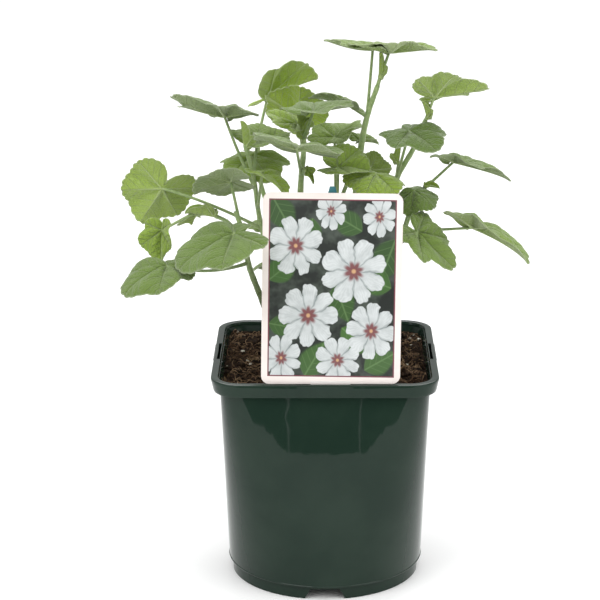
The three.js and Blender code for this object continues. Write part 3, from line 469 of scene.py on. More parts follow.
def leaf_under_material(settings):
    """Greyer, hairier underside, with stronger veins"""
    shader = Shader("leaf_underside")
    main, side, net, glow, shade, fringe = blade_parts(shader)
    patches = shader.ramp(shader.noise(70.0, 3.0), 0.3, 0.75)
    base = shader.mix(patches, settings.under, (0.21, 0.285, 0.125))
    # Painted shade darkens the underside, and painted light shining through brightens it
    base = shader.mix(shader.math("MULTIPLY", shade, 0.8), base, (0.115, 0.17, 0.075))
    base = shader.mix(shader.math("MULTIPLY", glow, 0.9), base, settings.light)
    pale = shader.math("MULTIPLY_ADD", side, 0.42, shader.math("MULTIPLY", net, 0.25))
    pale = shader.math("MAXIMUM", pale, shader.math("MULTIPLY", main, 0.7), clamp=True)
    base = shader.mix(pale, base, (0.40, 0.50, 0.20))
    hairs = shader.ramp(shader.noise(2200.0, 2.0), 0.45, 0.8, 0.0, 0.18)
    base = shader.mix(hairs, base, (0.50, 0.55, 0.40))
    base = shader.mix(shader.math("MULTIPLY", fringe, 0.5), base, (0.52, 0.58, 0.40))
    height = shader.math("MULTIPLY_ADD", main, 0.8, shader.math("MULTIPLY", side, 0.6))
    height = shader.math("MULTIPLY_ADD", net, 0.4, height)
    height = shader.math("MULTIPLY_ADD", shader.noise(1400.0, 3.0), 0.4, height)
    return shader.surface(colour=base, roughness=0.75, normal=shader.bump(height, 0.0006),
                          specular=0.2, sheen=0.45, sheen_roughness=0.45,
                          sheen_tint=(0.93, 0.96, 0.86, 1.0))


def stalk_material(settings):
    """Pale downy green, darker low down, and darkened on the petioles of shaded leaves by painted
    shade
    """
    shader = Shader("stalk_skin")
    tones = shader.node("Attribute", attribute_name="tones", attribute_type="GEOMETRY")
    tone = shader.node("SeparateColor", {"Color": tones.outputs["Color"]})
    streaks = shader.ramp(shader.noise(420.0, 4.0), 0.3, 0.7)
    base = shader.mix(streaks, settings.stalk, (0.22, 0.33, 0.11))
    # Darker by the shade channel: painted shade on the petioles of shaded leaves, and darker low
    # down
    base = shader.mix(tone.outputs[1], base, (0.055, 0.082, 0.024))
    hairs = shader.ramp(shader.noise(2600.0, 2.0), 0.48, 0.75, 0.0, 0.35)
    base = shader.mix(hairs, base, (0.62, 0.68, 0.52))
    height = shader.math("MULTIPLY_ADD", streaks, 0.5, shader.noise(1800.0, 2.0))
    return shader.surface(colour=base, roughness=0.6, normal=shader.bump(height, 0.0002),
                          specular=0.3, sheen=0.45, sheen_roughness=0.4,
                          sheen_tint=(0.95, 0.97, 0.9, 1.0))


def pot_material(settings):
    """Dark green plastic with a soft flow in its gloss and a little dust"""
    shader = Shader("pot_green_plastic")
    cloud = shader.ramp(shader.noise(26.0, 3.0), 0.35, 0.7)
    base = shader.mix(cloud, settings.colour, (0.017, 0.033, 0.023))
    dust = shader.ramp(shader.noise(900.0, 4.0, 0.65), 0.6, 0.8, 0.0, 0.12)
    base = shader.mix(dust, base, (0.05, 0.07, 0.06))
    drawn = shader.node("VectorMath", {0: shader.place(), 1: (1.0, 1.0, 0.4)},
                        operation="MULTIPLY").outputs[0]
    flow = shader.math("MULTIPLY_ADD", shader.noise(240.0, 2.0, 0.5, drawn), 0.1,
                       shader.noise(60.0, 2.0, 0.5, drawn))
    rough = shader.ramp(shader.noise(60.0, 4.0), 0.3, 0.75, 0.02, 0.05)
    return shader.surface(colour=base, roughness=rough, normal=shader.bump(flow, 0.0001),
                          specular=0.19)


def mix_material(settings):
    """Moist dark crumb with paler bits"""
    shader = Shader("potting_mix_crumb")
    grain = shader.noise(520.0, 6.0, 0.65)
    clods = shader.ramp(shader.noise(420.0, 5.0, 0.7), 0.4, 0.68)
    base = shader.mix(clods, settings.colour, (0.046, 0.026, 0.015))
    pale = shader.ramp(shader.cells(420.0), 0.0, 0.2, 0.5, 0.0)
    base = shader.mix(shader.math("MULTIPLY", pale, clods), base, (0.20, 0.15, 0.10))
    return shader.surface(colour=base, roughness=0.92, normal=shader.bump(grain, 0.0012),
                          specular=0.08)


def fibre_material():
    """Brown plant fibres"""
    shader = Shader("coir_fibre")
    tint = shader.ramp(shader.noise(140.0, 2.0), 0.35, 0.7)
    base = shader.mix(tint, (0.09, 0.05, 0.028), (0.30, 0.20, 0.12))
    return shader.surface(colour=base, roughness=0.8, normal=shader.bump(tint, 0.0003),
                          specular=0.12)


def speck_material():
    """Pale mineral grains"""
    shader = Shader("perlite_speck")
    tint = shader.ramp(shader.noise(700.0, 3.0), 0.35, 0.7)
    base = shader.mix(tint, (0.42, 0.38, 0.32), (0.7, 0.68, 0.62))
    return shader.surface(colour=base, roughness=0.9, normal=shader.bump(tint, 0.0003),
                          specular=0.2)


def stake_material():
    """Teal plastic of the stake"""
    shader = Shader("stake_teal_plastic")
    tint = shader.ramp(shader.noise(60.0, 3.0), 0.3, 0.7)
    base = shader.mix(tint, (0.035, 0.16, 0.19), (0.05, 0.21, 0.24))
    return shader.surface(colour=base, roughness=0.42, specular=0.4,
                          normal=shader.bump(shader.noise(300.0, 3.0), 0.0002))


def plastic_back_material():
    """Plain back and edge of the label"""
    shader = Shader("label_card_back")
    tint = shader.ramp(shader.noise(35.0, 3.0), 0.3, 0.75)
    base = shader.mix(tint, (0.78, 0.74, 0.71), (0.84, 0.80, 0.77))
    return shader.surface(colour=base, roughness=0.45, specular=0.4,
                          normal=shader.bump(shader.noise(260.0, 3.0), 0.00015))


# The printed blossoms: centre in millimetres from the middle of the label's foot, radius, turn
# in degrees, and how much its width is squashed
BLOSSOMS = [
    (28, 101, 13, 20, 0.8), (-1, 104, 12, 64, 0.8), (-22, 83, 19, 10, 0.92),
    (-30, 15, 15, 48, 0.85), (4, 14, 15, 5, 0.95), (24, 32, 18, 80, 0.88), (13, 68, 21, 55, 1.0),
    (-14, 41, 20, 32, 0.94),
]
BLOSSOM_PETALS = 8

# Millimetres of the card that its UV map spans from 0 to 1
CARD_SPAN = 200

# The printed leaves: foot in millimetres, length, heading in degrees and brightness
PRINTED_LEAVES = [
    (-36, 112, 26, -60, 0.5), (18, 92, 24, 150, 0.6), (38, 88, 30, -110, 0.45),
    (-38, 62, 24, 40, 0.9), (2, 60, 26, -70, 0.6), (36, 58, 24, 160, 0.8), (-38, 36, 20, -10, 0.7),
    (6, 34, 26, -40, 1.0), (20, 8, 24, 30, 0.85), (-16, 4, 26, 60, 0.8), (-12, 100, 22, -100, 0.7),
]


class GroupShader(Shader):
    """The same short ways inside a node group or the surroundings"""

    def __init__(self, tree):
        self.tree = tree


def printed_group(name, inputs):
    """Node group that lays one printed shape over a colour. Returns the group, its short ways,
    the values that it is given, the socket of its result, and the place from the shape's foot"""
    group = bpy.data.node_groups.new(name, "ShaderNodeTree")
    group.interface.new_socket(name="Under", in_out="INPUT", socket_type="NodeSocketColor")
    group.interface.new_socket(name="Place", in_out="INPUT", socket_type="NodeSocketVector")
    for entry in inputs:
        group.interface.new_socket(name=entry, in_out="INPUT", socket_type="NodeSocketFloat")
    group.interface.new_socket(name="Color", in_out="OUTPUT", socket_type="NodeSocketColor")
    shader = GroupShader(group)
    given = group.nodes.new("NodeGroupInput").outputs
    result = group.nodes.new("NodeGroupOutput").inputs["Color"]
    split = shader.node("SeparateXYZ", {"Vector": given["Place"]}).outputs
    right = shader.math("SUBTRACT", split[0], given["X"])
    up = shader.math("SUBTRACT", split[1], given["Y"])
    return group, shader, given, result, right, up


def blossom_group(petals):
    """A white blossom of broad notched petals with a crimson eye and a pale column"""
    group, shader, given, result, across, up = printed_group(
        "printed_blossom", ("X", "Y", "Radius", "Turn", "Squash"))
    across = shader.math("DIVIDE", across, given["Squash"])
    far = shader.math("SQRT", shader.math("ADD", shader.math("MULTIPLY", across, across),
                                          shader.math("MULTIPLY", up, up)))
    share = shader.math("DIVIDE", far, given["Radius"])
    turn = shader.math("ADD", shader.math("ARCTAN2", up, across), given["Turn"])
    ripple = shader.math("MULTIPLY", shader.noise(0.12, 2.0, 0.5, given["Place"]), 0.55)
    turn = shader.math("ADD", turn, ripple)
    petal = shader.math("ABSOLUTE", shader.math("COSINE", shader.math(
        "MULTIPLY", turn, BLOSSOM_PETALS / 2)))
    reach = shader.math("MULTIPLY_ADD", shader.math("POWER", petal, 0.35), 0.5, 0.5)
    reach = shader.math("MULTIPLY_ADD", shader.math("POWER", petal, 14.0), -0.05, reach)
    inside = shader.ramp(shader.math("SUBTRACT", reach, share), 0.0, 0.03)
    gap = shader.ramp(petal, 0.0, 0.5, 0.5, 0.0)
    streak = shader.math("SINE", shader.math("MULTIPLY", turn, 56.0))
    streak = shader.math("MULTIPLY", shader.ramp(streak, -1.0, 1.0, 0.0, 0.16), share)
    soft = shader.ramp(shader.noise(0.16, 3.0, 0.5, given["Place"]), 0.35, 0.7, 0.0, 0.22)
    dim = shader.math("ADD", shader.math("ADD", gap, streak), soft)
    dim = shader.math("ADD", dim, shader.ramp(share, 0.15, 0.8, 0.16, 0.0), clamp=True)
    tone = shader.mix(dim, petals, (0.17, 0.205, 0.20))
    ray = shader.math("MULTIPLY_ADD", petal, 0.12, 0.17)
    eye = shader.ramp(shader.math("SUBTRACT", share, ray), -0.08, 0.07, 1.0, 0.0)
    tone = shader.mix(shader.math("MULTIPLY", eye, 0.9), tone, (0.15, 0.018, 0.02))
    tone = shader.mix(shader.ramp(share, 0.03, 0.09, 1.0, 0.0), tone, (0.55, 0.33, 0.17))
    shader.feed(result, shader.mix(inside, given["Under"], tone))
    return group


def printed_leaf_group():
    """A pointed leaf with a pale rib, out of focus behind the blossoms"""
    group, shader, given, result, right, up = printed_group(
        "printed_leaf", ("X", "Y", "Length", "Cosine", "Sine", "Light"))
    cosine, sine = given["Cosine"], given["Sine"]
    along = shader.math("ADD", shader.math("MULTIPLY", right, cosine),
                        shader.math("MULTIPLY", up, sine))
    away = shader.math("SUBTRACT", shader.math("MULTIPLY", up, cosine),
                       shader.math("MULTIPLY", right, sine))
    along = shader.math("DIVIDE", along, given["Length"])
    away = shader.math("ABSOLUTE", shader.math("DIVIDE", away, given["Length"]))
    held = shader.math("ADD", along, 0.0, clamp=True)
    half = shader.math("MULTIPLY", shader.math("SINE", shader.math("MULTIPLY", shader.math(
        "POWER", held, 0.75), math.pi)), 0.36)
    inside = shader.ramp(shader.math("SUBTRACT", half, away), 0.0, 0.1)
    ribs = shader.math("MULTIPLY_ADD", away, -0.8, along)
    ribs = shader.math("PINGPONG", shader.math("MULTIPLY", ribs, 6.0), 0.5)
    ribs = shader.ramp(ribs, 0.0, 0.12, 0.45, 0.0)
    ribs = shader.math("MAXIMUM", ribs, shader.ramp(away, 0.006, 0.03, 0.8, 0.0))
    blade = shader.mix(given["Light"], (0.012, 0.026, 0.012), (0.05, 0.125, 0.024))
    blade = shader.mix(ribs, blade, shader.mix(0.5, blade, (0.16, 0.28, 0.10)))
    shader.feed(result, shader.mix(inside, given["Under"], blade))
    return group


def picture_material(settings):
    """Print of the label: white blossoms with crimson eyes among leaves, inside a thin dark red
    line and a plain pale margin"""
    shader = Shader("label_picture")
    place = shader.node("UVMap", uv_map="card").outputs["UV"]
    millimetres = shader.node("VectorMath", {0: place}, operation="SCALE")
    millimetres.inputs["Scale"].default_value = CARD_SPAN
    place = millimetres.outputs[0]
    split = shader.node("SeparateXYZ", {"Vector": place})
    haze = shader.ramp(shader.noise(0.07, 3.0, 0.6, place), 0.38, 0.66)
    ground = shader.mix(haze, (0.009, 0.013, 0.010), (0.055, 0.07, 0.055))

    def printed(group, under, values):
        drawn = shader.node("Group", {"Under": under, "Place": place}, node_tree=group)
        for key, value in values.items():
            drawn.inputs[key].default_value = value
        return drawn.outputs["Color"]

    blades = printed_leaf_group()
    for x, y, length, heading, light in PRINTED_LEAVES:
        heading = math.radians(heading)
        ground = printed(blades, ground, {"X": x, "Y": y, "Length": length, "Light": light,
                                          "Cosine": math.cos(heading), "Sine": math.sin(heading)})
    blossoms = blossom_group(settings.petals)
    for x, y, radius, turn, squash in BLOSSOMS:
        ground = printed(blossoms, ground, {"X": x, "Y": y, "Radius": radius,
                                            "Turn": math.radians(turn), "Squash": squash})
    half_width = (settings.width / 2 - settings.border) / MM
    middle = settings.height / 2 / MM
    half_height = (settings.height / 2 - settings.border) / MM
    out_x = shader.math("SUBTRACT", shader.math("ABSOLUTE", split.outputs[0]), half_width)
    from_middle = shader.math("ABSOLUTE", shader.math("SUBTRACT", split.outputs[1], middle))
    out_y = shader.math("SUBTRACT", from_middle, half_height)
    out = shader.math("MAXIMUM", out_x, out_y)
    line = shader.ramp(out, -0.9, -0.6)
    ground = shader.mix(line, ground, (0.17, 0.045, 0.06))
    margin = shader.ramp(out, -0.1, 0.15)
    card = shader.mix(shader.ramp(shader.noise(0.05, 2.0, 0.5, place), 0.3, 0.7),
                      (0.80, 0.72, 0.68), (0.84, 0.77, 0.73))
    ground = shader.mix(margin, ground, card)
    return shader.surface(colour=ground, roughness=0.28, specular=0.45, coat=0.2,
                          coat_roughness=0.2,
                          normal=shader.bump(shader.noise(220.0, 3.0), 0.0001))


def floor_material():
    """Plain pale floor"""
    shader = Shader("stage_floor")
    tint = shader.ramp(shader.noise(3.0, 2.0), 0.3, 0.7)
    base = shader.mix(tint, (0.93, 0.93, 0.93), (0.95, 0.95, 0.95))
    return shader.surface(colour=base, roughness=0.9, specular=0.1)


def dark_card_material():
    """Black card that only reflections show"""
    shader = Shader("stage_dark_card")
    tint = shader.ramp(shader.noise(4.0, 2.0), 0.3, 0.7)
    base = shader.mix(tint, (0.004, 0.004, 0.004), (0.008, 0.008, 0.008))
    return shader.surface(colour=base, roughness=1.0, specular=0.0)


def as_mesh(name, bm):
    """The mesh that a bmesh ends as"""
    mesh = bpy.data.meshes.new(name)
    bm.to_mesh(mesh)
    bm.free()
    return mesh


def in_scene(name, data):
    """A new object in the scene, at the origin"""
    made = bpy.data.objects.new(name, data)
    bpy.context.scene.collection.objects.link(made)
    return made


def finished(name, bm, materials, smooth):
    """Turns a bmesh in millimetres into the finished object in metres, on its body, with edges
    sharper than the angle smooth kept"""
    bmesh.ops.scale(bm, vec=(MM, MM, MM), verts=bm.verts)
    mesh = as_mesh(name, bm)
    piece = in_scene(name, mesh)
    for material in materials:
        mesh.materials.append(material)
    mesh.shade_smooth()
    mesh.set_sharp_from_angle(angle=math.radians(smooth))
    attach(piece, BODY)
    return piece


def quarter_turn(quarter):
    """Turn about the upright axis from the front to one of the four sides"""
    return Matrix.Rotation(quarter * math.pi / 2, 4, "Z")


def hoop(centre, radius, side, up, parts):
    """Points of a circle round a centre"""
    return [centre + radius * (math.cos(turn) * side + math.sin(turn) * up)
            for turn in (2 * math.pi * part / parts for part in range(parts))]


def rounded_square(half, corner, height):
    """Points of one ring of the pot: a square with round corners, or a circle where the corner is
    as large as the half"""
    points = []
    reach = half - corner
    for quarter in range(4):
        middle = (quarter + 0.5) * math.pi / 2
        for step in range(CORNER_STEPS + 1):
            turn = (quarter + step / CORNER_STEPS) * math.pi / 2
            points.append(Vector((
                reach * math.sqrt(2) * math.cos(middle) + corner * math.cos(turn),
                reach * math.sqrt(2) * math.sin(middle) + corner * math.sin(turn),
                height)))
    return points


def even_ring(half, corner, height, parts):
    """Points of one ring of the mix: a rounded square with its points evenly spread"""
    reach = half - corner
    side = 2 * reach
    arc = corner * math.pi / 2
    points = []
    for quarter in range(4):
        turned = quarter_turn(quarter)
        for part in range(parts):
            gone = (side + arc) * part / parts
            turn = max(gone - side, 0) / corner
            rise = min(gone, side) - reach
            points.append(turned @ Vector((reach + corner * math.cos(turn),
                                           rise + corner * math.sin(turn), height)))
    return points


def skin_rings(bm, rings):
    """Closed skin over a stack of rings: the first ring is filled, drawn out ring by ring, and
    the last one is filled"""
    count = len(rings[0])
    made = bmesh.ops.create_circle(bm, cap_ends=False, radius=1, segments=count)["verts"]
    for vert, point in zip(made, rings[0]):
        vert.co = point
    current = made
    first_edges = list({edge for vert in made for edge in vert.link_edges})
    edges = first_edges
    for ring in rings[1:]:
        drawn = bmesh.ops.extrude_edge_only(bm, edges=edges)["geom"]
        fresh = {item for item in drawn if isinstance(item, bmesh.types.BMVert)}
        following = []
        for vert in current:
            mate = next(edge.other_vert(vert) for edge in vert.link_edges
                        if edge.other_vert(vert) in fresh)
            following.append(mate)
        for vert, point in zip(following, ring):
            vert.co = point
        edges = [item for item in drawn if isinstance(item, bmesh.types.BMEdge)
                 and item.verts[0] in fresh and item.verts[1] in fresh]
        current = following
    for loop in (first_edges, edges):
        bmesh.ops.edgeloop_fill(bm, edges=loop)
    bmesh.ops.recalc_face_normals(bm, faces=bm.faces)


def cut_away(bm, cutters):
    """Cuts closed shapes out of a closed bmesh and returns the result as a new bmesh"""
    body = in_scene("cut_body", as_mesh("cut_body", bm))
    knives = [in_scene("cut_knife", as_mesh("cut_knife", knife)) for knife in cutters]
    for knife in knives:
        step = body.modifiers.new("cut", "BOOLEAN")
        step.operation = "DIFFERENCE"
        step.solver = "EXACT"
        step.object = knife
    bpy.context.view_layer.update()
    shaped = body.evaluated_get(bpy.context.evaluated_depsgraph_get())
    result = bmesh.new()
    result.from_mesh(shaped.to_mesh())
    shaped.to_mesh_clear()
    for made in (body, *knives):
        mesh = made.data
        bpy.data.objects.remove(made)
        bpy.data.meshes.remove(mesh)
    return result


def prism(outline, low, high):
    """Closed prism over an outline in the XY plane"""
    bm = bmesh.new()
    verts = [bm.verts.new((x, y, low)) for x, y in outline]
    face = bm.faces.new(verts)
    drawn = bmesh.ops.extrude_face_region(bm, geom=[face])["geom"]
    bmesh.ops.translate(bm, vec=(0, 0, high - low),
                        verts=[item for item in drawn if isinstance(item, bmesh.types.BMVert)])
    bmesh.ops.recalc_face_normals(bm, faces=bm.faces)
    return bm


def outline_reach(form, theta):
    """Reach of the blade's edge at each turn, as a share of the leaf's size"""
    total = np.zeros_like(theta)
    for turn, length in form["lobes"]:
        for side in ((1,) if turn == 0 else (-1, 1)):
            away = np.abs(theta - side * math.radians(turn))
            lobe = length * (1 - form["fall"] * away ** form["power"])
            total += np.maximum(0, lobe) ** LOBE_BLEND
    return np.maximum(SINUS_REACH, total ** (1 / LOBE_BLEND))


def pleat(form, theta):
    """Swell of the blade between two neighbouring main veins"""
    turns = [math.radians(turn) for turn, _ in form["lobes"]]
    away = np.abs(theta)
    swell = np.zeros_like(theta)
    for low, high in zip(turns, turns[1:]):
        inside = (away >= low) & (away < high)
        swell = np.where(inside, np.sin(np.pi * (away - low) / (high - low)) ** 2, swell)
    return swell


def sinc(value):
    return np.sinc(value / np.pi)


def blade_points(row, share, theta, reach):
    """Points of the blade's middle sheet in the leaf's own frame, by the solids' rule"""
    size = row["size"]
    length = size * share * reach
    along = length * np.cos(theta)
    across = length * np.sin(theta)
    out = np.abs(across)
    half_arc = math.radians(row["curl"]) / size * out / 2
    chord = out * sinc(half_arc)
    slope = math.radians(row["fold"]) * np.minimum(1, out / (0.12 * size)) + half_arc
    sideways = np.sign(across) * chord * np.cos(slope)
    # Long waves and small ruffles at the edge, a swell between the main veins, a drooping edge
    ripple = row["wave"] * share ** 2 * np.sin(5 * theta + row["seed"])
    ruffle = 0.01 * size * share ** 4 * np.sin(11 * theta + 2.3 * row["seed"])
    swell = (0.05 * share + 0.055 * np.sin(np.pi * share)) * pleat(row["shape"], theta)
    lift = chord * np.sin(slope) + ripple + ruffle + size * (swell - 0.035 * share ** 7)
    turn = math.radians(row["bend"]) / size * along
    rib = along * sinc(turn / 2)
    return np.stack([rib * np.cos(turn / 2) + lift * np.sin(turn), sideways,
                     -rib * np.sin(turn / 2) + lift * np.cos(turn)], -1)


def leaf_frame(row):
    """The leaf's frame: its rib towards the tip, then rolled about that line"""
    at = Vector(row["at"])
    along = Vector(row["tip"]) - at
    half_bend = math.radians(row["bend"]) / 2
    row["size"] = along.length * (1 if abs(half_bend) < 1e-6 else half_bend / math.sin(half_bend))
    along.normalize()
    up = Vector((0, 0, 1))
    up = (up - up.dot(along) * along).normalized()
    up.rotate(Matrix.Rotation(math.radians(row["roll"]), 3, along))
    across = up.cross(along)
    droop = Matrix.Rotation(-half_bend, 3, across)
    along = droop @ along
    up = droop @ up
    turned = Matrix((along, across, up)).transposed().to_4x4()
    return Matrix.Translation(at) @ turned


def blade_columns(form, count):
    """Turns of the mesh columns, so that a column lies on each main vein and on each border
    between two of them, with the distance to the nearest vein"""
    turns = [math.radians(turn) for turn, _ in form["lobes"]]
    stops = [0.0]
    for low, high in zip(turns, turns[1:]):
        stops += [(low + high) / 2, high]
    stops.append(math.pi)
    half = []
    for low, high in zip(stops, stops[1:]):
        steps = max(6, round(count * (high - low) / math.pi))
        half += [low + (high - low) * step / steps for step in range(steps)]
    half.append(math.pi)
    theta = np.array([-turn for turn in reversed(half[1:])] + half)
    nearest = np.min(np.abs(np.abs(theta)[:, None] - np.array(turns)[None, :]), axis=1)
    return theta, nearest


def blade_mesh(row, settings):
    """One blade: a grid wrapped round its middle sheet, out along the upper face and back along
    the underside, with the veins sunk above and raised below"""
    form = row["shape"]
    coarser = 2 if row["form"] == "young" else 1
    theta, nearest = blade_columns(form, settings.columns // coarser)
    rings = settings.rings // coarser
    teeth = settings.teeth // coarser
    matrix = leaf_frame(row)
    share = np.linspace(0, 1, rings + 1)[:, None] ** 0.9
    turns = theta[None, :] + 0.012 * np.sin(3 * theta + row["seed"])[None, :] * share
    smooth_edge = outline_reach(form, theta)[None, :]
    # Rounded teeth, a little closer together on one side than on the other
    tooth = np.abs(((teeth * theta / (2 * math.pi) + 0.15 * np.sin(2 * theta + row["seed"])) % 1)
                   - 0.5)
    tooth = 1 - (tooth / 0.5) ** 2.2
    depth = TOOTH_DEPTHS.get(row["form"], TOOTH_DEPTH)
    edge = 1 - form["tooth"] * 0.5 + depth * (tooth[None, :] - 0.6)
    toothed = smooth_edge * (1 + (edge - 1) * share ** 5)
    sheet = blade_points(row, share, turns, toothed)
    d_share = np.gradient(sheet, axis=0)
    d_theta = np.gradient(sheet, axis=1)
    normal = np.cross(d_share, d_theta)
    normal[0] = normal[1].mean(axis=0)
    normal /= np.maximum(np.linalg.norm(normal, axis=-1, keepdims=True), 1e-9)
    if normal[..., 2].mean() < 0:
        normal = -normal
    size = row["size"]
    along = share * toothed * np.cos(nearest)[None, :]
    away = share * toothed * np.sin(np.minimum(nearest, math.pi / 2))[None, :]
    # Main veins sink into the upper face, and the side veins part it into a quilt
    vein = np.exp(-(away / (0.02 * (1.25 - along))) ** 2)
    cycle = np.abs(((along - VEIN_SLANT * away) * SIDE_VEINS) % 1 - 0.5) * 2
    quilt = (1 - cycle ** 3) * np.clip(away / 0.06, 0, 1) * np.clip((1 - share) / 0.15, 0.25, 1)
    half = settings.thickness / MM / 2 * (1 - 0.45 * share ** 3)
    relief = 0.014 * size
    top = sheet + normal * (half + relief * (quilt - 0.9 * vein))[..., None]
    # The underside shows the same veins raised, without cutting through the blade
    under_lift = relief * (0.6 * quilt - 1.3 * vein * (1 - 0.6 * share))
    under = sheet - normal * (half - np.minimum(under_lift, half * 0.6))[..., None]
    rows = np.concatenate([top, under[::-1]], axis=0)
    vein_map = np.stack([along, away], -1)
    vein_map = np.concatenate([vein_map, vein_map[::-1]], axis=0)
    shares = np.repeat(share, len(theta), axis=1)
    shares = np.concatenate([shares, shares[::-1]], axis=0)
    count_rows, count_columns = rows.shape[:2]

    # Each vertex of the grid finds its place by its column and ring
    bm = bmesh.new()
    bmesh.ops.create_grid(bm, x_segments=count_columns - 1, y_segments=count_rows - 1, size=1)
    veins = bm.loops.layers.uv.new("veins")
    tones = bm.verts.layers.float_color.new("tones")
    at = {}
    for vert in bm.verts:
        column = round((vert.co.x + 1) / 2 * (count_columns - 1))
        ring = round((vert.co.y + 1) / 2 * (count_rows - 1))
        at[vert] = (ring, column)
    for vert, (ring, column) in at.items():
        vert.co = matrix @ Vector(rows[ring, column])
        # Each vertex carries the leaf's painted light shining through, its painted shade and its
        # share out to the edge
        vert[tones] = (row["glow"], row["shade"], shares[ring, column], 1.0)
    for face in bm.faces:
        low = min(at[vert][0] for vert in face.verts)
        face.material_index = 1 if low >= rings else 0
        for loop in face.loops:
            loop[veins].uv = vein_map[at[loop.vert]]
    bmesh.ops.remove_doubles(bm, verts=bm.verts, dist=1e-5)
    bmesh.ops.recalc_face_normals(bm, faces=bm.faces)
    return as_mesh("blade", bm)


def catmull_rom(points, per_piece):
    """Centripetal curve through points, as in the solids"""
    spots = [Vector(point[:3]) for point in points]
    spots = [2 * spots[0] - spots[1], *spots, 2 * spots[-1] - spots[-2]]
    path = []
    for p0, p1, p2, p3 in zip(spots, spots[1:], spots[2:], spots[3:]):
        gaps = [max((b - a).length ** 0.5, 1e-4) for a, b in ((p0, p1), (p1, p2), (p2, p3))]
        before, here, after = gaps
        leave = ((p1 - p0) / before - (p2 - p0) / (before + here) + (p2 - p1) / here) * here
        reach = ((p2 - p1) / here - (p3 - p1) / (here + after) + (p3 - p2) / after) * here
        for step in range(per_piece):
            t = step / per_piece
            path.append(p1 + leave * t + (3 * (p2 - p1) - 2 * leave - reach) * t * t
                        + (2 * (p1 - p2) + leave + reach) * t ** 3)
    path.append(spots[-2])
    return path


def sweep(path, radii, sides, tone):
    """Round stalk along a path, closed at both ends"""
    bm = bmesh.new()
    tones = bm.verts.layers.float_color.new("tones")
    directions = [(b - a).normalized() for a, b in zip(path, path[1:])]
    between = [(a + b).normalized() for a, b in zip(directions, directions[1:])]
    directions = [directions[0], *between, directions[-1]]
    side = directions[0].orthogonal().normalized()
    rings = []
    for centre, direction, radius in zip(path, directions, radii):
        side = (side - side.dot(direction) * direction).normalized()
        rings.append(hoop(centre, radius, side, direction.cross(side), sides))
    skin_rings(bm, rings)
    for vert in bm.verts:
        # The shade channel: the shade that is given, made darker low down on the stalk
        low = min(max((STALK_DARKER_BELOW - vert.co.z) / 45, 0), 1)
        vert[tones] = (tone[0], min(1, tone[1] + 0.8 * low), 0, 1)
    for face in bm.faces:
        face.material_index = 2
    return as_mesh("stalk", bm)


def stalk_mesh(points, rough):
    """A stalk with slightly uneven thickness, and the path that it follows"""
    path = catmull_rom(points, 9)
    radii = []
    for number, _ in enumerate(path):
        share = number / (len(path) - 1)
        radius = points[0][3] + (points[-1][3] - points[0][3]) * share
        radii.append(radius * (1 + 0.05 * math.sin(number * 1.9 + rough)))
    return sweep(path, radii, 14, (0.3, 0.1)), path


def petiole_mesh(row, spots):
    """A petiole from the nearest spot of the stalks to the foot of its blade"""
    start = min(spots, key=lambda spot: (spot - Vector(row["start"])).length)
    end = Vector(row["at"])
    middle = (start + end) / 2 + Vector((0, 0, row["sag"]))
    path = []
    steps = max(6, round((end - start).length / 4))
    for step in range(steps + 1):
        t = step / steps
        path.append(start * (1 - t) ** 2 + middle * 2 * t * (1 - t) + end * t * t)
    radii = []
    for number in range(steps + 1):
        share = number / steps
        swollen = 0.35 * max(0, 1 - 4 * share) ** 2
        radii.append(PETIOLE_RADIUS * (1.15 - 0.25 * share + swollen))
    # The petiole takes on its leaf's painted light and painted shade
    return sweep(path, radii, 10, (row["glow"], 0.1 + 0.3 * row["shade"]))


def dense(path, spacing=1.0):
    """Spots along a path at about the given spacing"""
    spots = []
    for a, b in zip(path, path[1:]):
        steps = max(1, round((b - a).length / spacing))
        spots += [a.lerp(b, step / steps) for step in range(steps)]
    return [*spots, path[-1]]


def join_meshes(name, meshes, materials):
    """One object from several meshes, in metres"""
    objects = [in_scene(name, mesh) for mesh in meshes]
    for mesh in meshes:
        for material in materials:
            mesh.materials.append(material)
    with bpy.context.temp_override(active_object=objects[0], object=objects[0],
                                   selected_objects=objects,
                                   selected_editable_objects=objects):
        bpy.ops.object.join()
    whole = objects[0]
    whole.data.transform(Matrix.Scale(MM, 4))
    whole.data.shade_smooth()
    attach(whole, BODY)
    return whole


